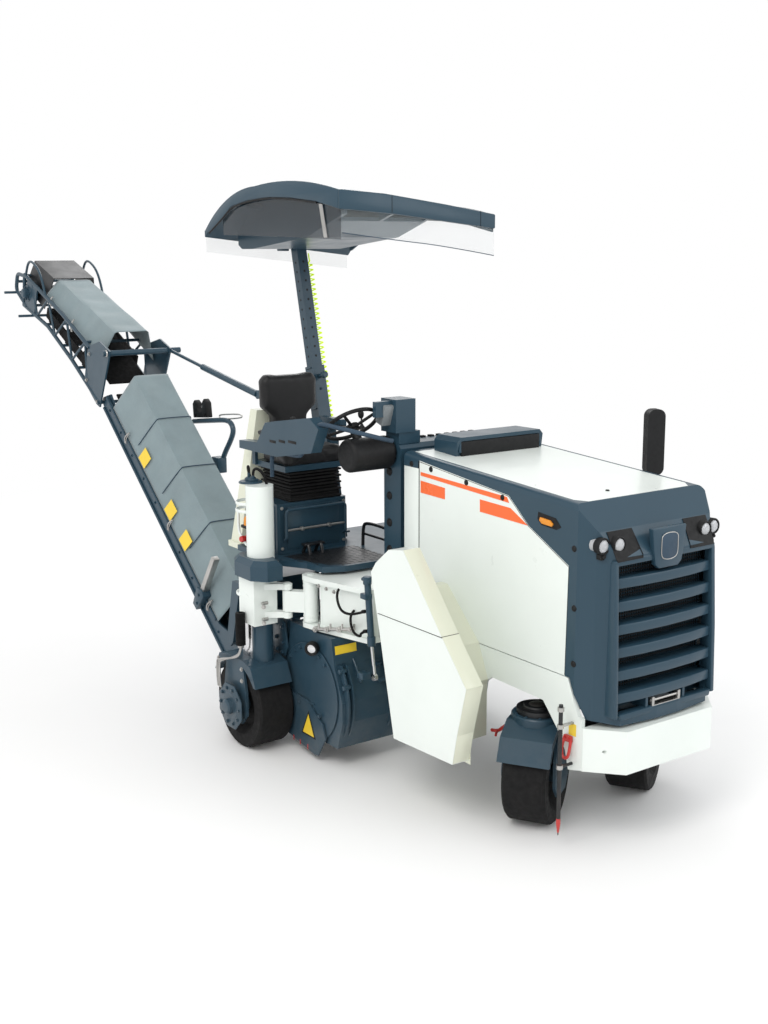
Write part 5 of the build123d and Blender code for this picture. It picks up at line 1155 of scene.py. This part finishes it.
def tent(name, body, point, stations, foot, tops, top_half, foot_half, slack, tail=None):
    """A belt cover of coated cloth: a tent over hoops, slack between them, with rounded folds along its top edges."""
    shape = Shape(name, body, tarpaulin, "tarpaulin")
    start, end = stations
    hoops = [start + (end - start) * k / 4 for k in range(5)]
    across = 34
    steps = int((end - start) / 0.028)
    rows, widest = [], 0.0
    for k in range(steps + 1):
        s = start + (end - start) * k / steps
        top = tops[0] + (tops[1] - tops[0]) * k / steps
        near = min(abs(s - hoop) for hoop in hoops) / (hoops[1] - hoops[0]) * 2
        sag = slack * near ** 1.4 if near < 1 else slack
        outline = [(-foot_half, foot), (-top_half, top), (top_half, top), (foot_half, foot)]
        lengths = [sqrt((b[0] - a[0]) ** 2 + (b[1] - a[1]) ** 2) for a, b in zip(outline, outline[1:])]
        total = sum(lengths)
        widest = max(widest, total)
        row = []
        for j in range(across + 1):
            run = total * j / across
            for part, length in enumerate(lengths):
                if run <= length or part == 2:
                    break
                run -= length
            (y0, h0), (y1, h1) = outline[part], outline[part + 1]
            t = min(1.0, run / length)
            y, h = y0 + (y1 - y0) * t, h0 + (h1 - h0) * t
            belly = sin(pi * t)
            ripple = 0.35 * sin(23 * s + 5 * y) + 0.4 * sin(9 * s - 14 * y + 1.3) + 0.25 * sin(41 * s + 2.0)
            if part == 1:
                h -= belly * (sag + 0.003 * ripple)
            else:
                y -= (1 if part == 0 else -1) * belly * -0.8 * (sag + 0.004 * ripple)
            row.append((s, h, y))
        rows.append(row)
    # a first row of joined points, pushed on station by station
    line = [shape.mesh.verts.new(at(*point(*p))) for p in rows[0]]
    edges = [shape.mesh.edges.new(pair) for pair in zip(line, line[1:])]
    for row in rows[1:]:
        made = bmesh.ops.extrude_edge_only(shape.mesh, edges=edges)["geom"]
        edges = [g for g in made if isinstance(g, bmesh.types.BMEdge)]
        fresh = [g for g in made if isinstance(g, bmesh.types.BMVert)]
        if len(fresh) != len(row):
            raise RuntimeError("tent rows differ")
        order = sorted(fresh, key=lambda v: line.index(min(line, key=lambda o: (o.co - v.co).length)))
        for v, p in zip(order, row):
            v.co = at(*point(*p))
        line = order
        edges = [e for e in {e for v in line for e in v.link_edges} if all(v in line for v in e.verts)]
    bmesh.ops.recalc_face_normals(shape.mesh, faces=shape.mesh.faces)
    bmesh.ops.smooth_vert(shape.mesh, verts=[v for v in shape.mesh.verts if not v.is_boundary], factor=0.5,
                          use_axis_x=True, use_axis_y=True, use_axis_z=True)
    if tail is not None:
        bmesh.ops.bisect_plane(shape.mesh, geom=shape.mesh.verts[:] + shape.mesh.edges[:] + shape.mesh.faces[:],
                               plane_co=at(tail, 0, 0), plane_no=(1, 0, 0), clear_outer=True)
    flat_area = sum(f.calc_area() for f in shape.mesh.faces)
    made = shape.done(keep_normals=True)
    for polygon in made.data.polygons:
        polygon.use_smooth = True
    thick = made.modifiers.new("cloth", "SOLIDIFY")
    thick.thickness = 0.0024
    thick.offset = 0
    return made, widest + 0.02, end - start + 0.04, flat_area


lower_sheet, wide, long, area = tent("belt_cover_lower", "conveyor", on_lower, (0.402, 2.655), 0.122, (0.483, 0.483),
                                     0.149, 0.248, 0.010, tail=-0.492)
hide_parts("cover_lower")
upper_sheet, wide, long, area = tent("belt_cover_upper", "conveyor_tip", on_upper, (0.152, 1.418), 0.290,
                                     (0.580, 0.438), 0.149, 0.244, 0.008)
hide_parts("cover_upper")

# seams, straps and their hooks on the covers
seams = Shape("cover_straps", "conveyor", slate_mould, "rubber")
for s in (1.05, 1.62, 2.15):
    seams.pipe([on_lower(s, 0.20, -0.236), on_lower(s, 0.482, -0.158), on_lower(s, 0.493, -0.13),
                on_lower(s, 0.491, 0.13), on_lower(s, 0.482, 0.158), on_lower(s, 0.20, 0.236)], 0.004)
seams.done()
for name, body, point, places in (("lower", "conveyor", on_lower, ((0.55, 0.13), (1.35, 0.13), (2.30, 0.13))),
                                  ("upper", "conveyor_tip", on_upper, ((0.30, 0.33), (0.75, 0.33), (1.25, 0.30)))):
    hooks = Shape(f"cover_hooks_{name}", body, plated_steel, "grey_paint")
    for s, h in places:
        for side in (-1, 1):
            y = side * 0.262
            a, b = point(s, h - 0.055, y), point(s, h + 0.06, y - side * 0.010)
            hooks.pipe([a, point(s + 0.012, h - 0.02, y + side * 0.012),
                        point(s + 0.012, h + 0.03, y + side * 0.006), b], 0.0065)
            hooks.pipe([point(s - 0.014, h - 0.05, y), point(s - 0.004, h - 0.01, y + side * 0.014),
                        point(s - 0.006, h + 0.05, y)], 0.004)
    hooks.done()
for index, (x, z) in enumerate(((-2.027, 1.701), (-1.591, 1.345), (-1.352, 1.146))):
    plate = Shape(f"cover_plate_blank_{index}", "conveyor", yellow_enamel, "white_paint")
    along = (-(x + 0.6) * cos(PITCH) + (z - 0.285) * sin(PITCH))
    corners = []
    for ds, h in ((-0.062, 0.150), (0.062, 0.150), (0.062, 0.262), (-0.062, 0.262)):
        half = 0.250 - (h - 0.12) / 0.365 * 0.1 + 0.0135
        corners.append(on_lower(along + ds, h, -half))
    plate.plate(corners, (0, -0.0012, 0))
    plate.done()

# side rails' edges and bolts
for side, tag in ((-1, "right"), (1, "left")):
    edge = Shape(f"rail_edge_{tag}", "conveyor", slate_enamel, "slate_paint")
    y = side * 0.256
    edge.pipe([on_lower(0.02, 0.004, y), on_lower(2.78, 0.004, y)], 0.011)
    edge.pipe([on_lower(0.42, 0.116, y), on_lower(2.78, 0.116, y)], 0.009)
    edge.bolts([on_lower(0.35 + 0.26 * k, 0.06, side * 0.2505) for k in range(10)], (0, side, 0), 0.009)
    edge.done()
    tip_bolts = Shape(f"tip_bolts_{tag}", "conveyor_tip", plated_steel, "grey_paint")
    tip_bolts.bolts([on_upper(s, h, side * 0.281) for s, h in ((0.02, 0.0), (-0.02, 0.47), (0.28, 0.06), (0.30, 0.30))],
                    (0, side, 0), 0.013, 0.014)
    tip_bolts.lathe(((0.0, 0.02), (0.018, 0.018), (0.026, 0.008), (0.03, 0.0), (0.0, 0.0)),
                    on_upper(-0.02, 0.48, side * 0.285), (0, side, 0), 24)
    tip_bolts.done()

head = Shape("head_guard_rods", "conveyor_tip", slate_enamel, "slate_paint")
for s, h in ((1.62, -0.02), (2.02, 0.02)):
    head.rod(on_upper(s, h, -0.40), on_upper(s, h, 0.40), 0.012, sides=16, soft=0.003)
for y in (-0.275, 0.275):
    head.pipe([on_upper(s, h, y) for s, h in
               ((1.36, 0.30), (1.50, 0.45), (1.75, 0.47), (1.86, 0.40), (1.86, 0.26))], 0.011)
head.done()
motor_cap = Shape("head_drum_motor", "conveyor_tip", slate_enamel, "slate_paint")
motor_cap.lathe(((0.0, 0.05), (0.035, 0.048), (0.045, 0.035), (0.048, 0.0), (0.075, 0.0), (0.078, -0.006)),
                on_upper(1.76, 0.14, -0.285), RIGHT, 32)
motor_cap.bolts(circle_of(on_upper(1.76, 0.14, -0.285), RIGHT, 0.062, 6), RIGHT, 0.008)
motor_cap.done()

# handle with its padded fork on the far rail, wire loop and foot post
handle = Shape("conveyor_handle", "conveyor", slate_enamel, "slate_paint")
handle.pipe([(-2.213, -0.45, 1.938), (-1.80, -0.45, 1.99), (-1.66, -0.45, 2.007), (-1.57, -0.45, 2.0),
             (-1.525, -0.45, 1.94), (-1.57, -0.45, 1.86), (-1.70, -0.45, 1.72), (-1.751, -0.45, 1.631)], 0.021)
handle.box((-1.80, -0.51, 1.575), (-1.69, -0.43, 1.70), soft=0.006)
handle.done()
fork = Shape("handle_fork_rest", "conveyor", black_mould, "black_plastic")
fork.plate([(-2.17, -0.475, 1.975), (-2.18, -0.475, 2.09), (-2.145, -0.475, 2.125), (-2.105, -0.475, 2.10),
            (-2.105, -0.475, 2.06), (-2.075, -0.475, 2.03), (-2.035, -0.475, 2.035), (-2.015, -0.475, 2.07),
            (-2.02, -0.475, 2.11), (-1.98, -0.475, 2.15), (-1.935, -0.475, 2.12), (-1.92, -0.475, 2.0)],
           (0, 0.05, 0), soft=0.006)
fork.bolts([(-2.13, -0.475, 1.995), (-1.96, -0.475, 2.015)], RIGHT, 0.011)
fork.done()
wire = Shape("handle_wire_loop", "conveyor", plated_steel, "grey_paint")
wire.pipe([(-1.74, -0.45, 2.005), (-1.77, -0.45, 2.03), (-1.72, -0.45, 2.045), (-1.42, -0.45, 2.08),
           (-1.375, -0.45, 2.065), (-1.42, -0.45, 2.045), (-1.70, -0.45, 2.01)], 0.006)
wire.done()
post = Shape("foot_post", "conveyor", plated_steel, "grey_paint")
post.plate([(-0.825, -1.045, 1.135), (-0.785, -1.045, 1.115), (-1.010, -1.045, 0.785), (-1.055, -1.045, 0.805)],
           (0, 0.05, 0), soft=0.004)
post.done()
post_foot = Shape("foot_post_socket", "conveyor", slate_enamel, "slate_paint")
post_foot.plate([(-0.985, -1.055, 0.845), (-0.955, -1.055, 0.800), (-1.075, -1.055, 0.675), (-1.13, -1.055, 0.715),
                 (-1.06, -1.055, 0.855)], (0, 0.07, 0), soft=0.004)
post_foot.bolts([(-1.03, -1.055, 0.80), (-1.06, -1.055, 0.73)], RIGHT, 0.010)
post_foot.done()

# chain at the ram's end
chain = Shape("ram_chain", "conveyor_tip", plated_steel, "grey_paint")
low_ram, high_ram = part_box("conveyor_ram")
ram_tip = Vector((high_ram.x - REAR_X, -0.46, low_ram.z + 0.03))
for k in range(9):
    place = ram_tip + Vector((0.018 + 0.034 * k, 0, -0.001 * k))
    flat, upright = 0.010 * (k % 2), 0.010 * ((k + 1) % 2)         # every second link lies crosswise
    link = ((-0.021, 0, 0), (-0.012, flat, upright), (0.012, flat, upright), (0.021, 0, 0),
            (0.012, -flat, -upright), (-0.012, -flat, -upright), (-0.021, 0, 0))
    chain.pipe([place + Vector(step) for step in link], 0.0042)
chain.done()
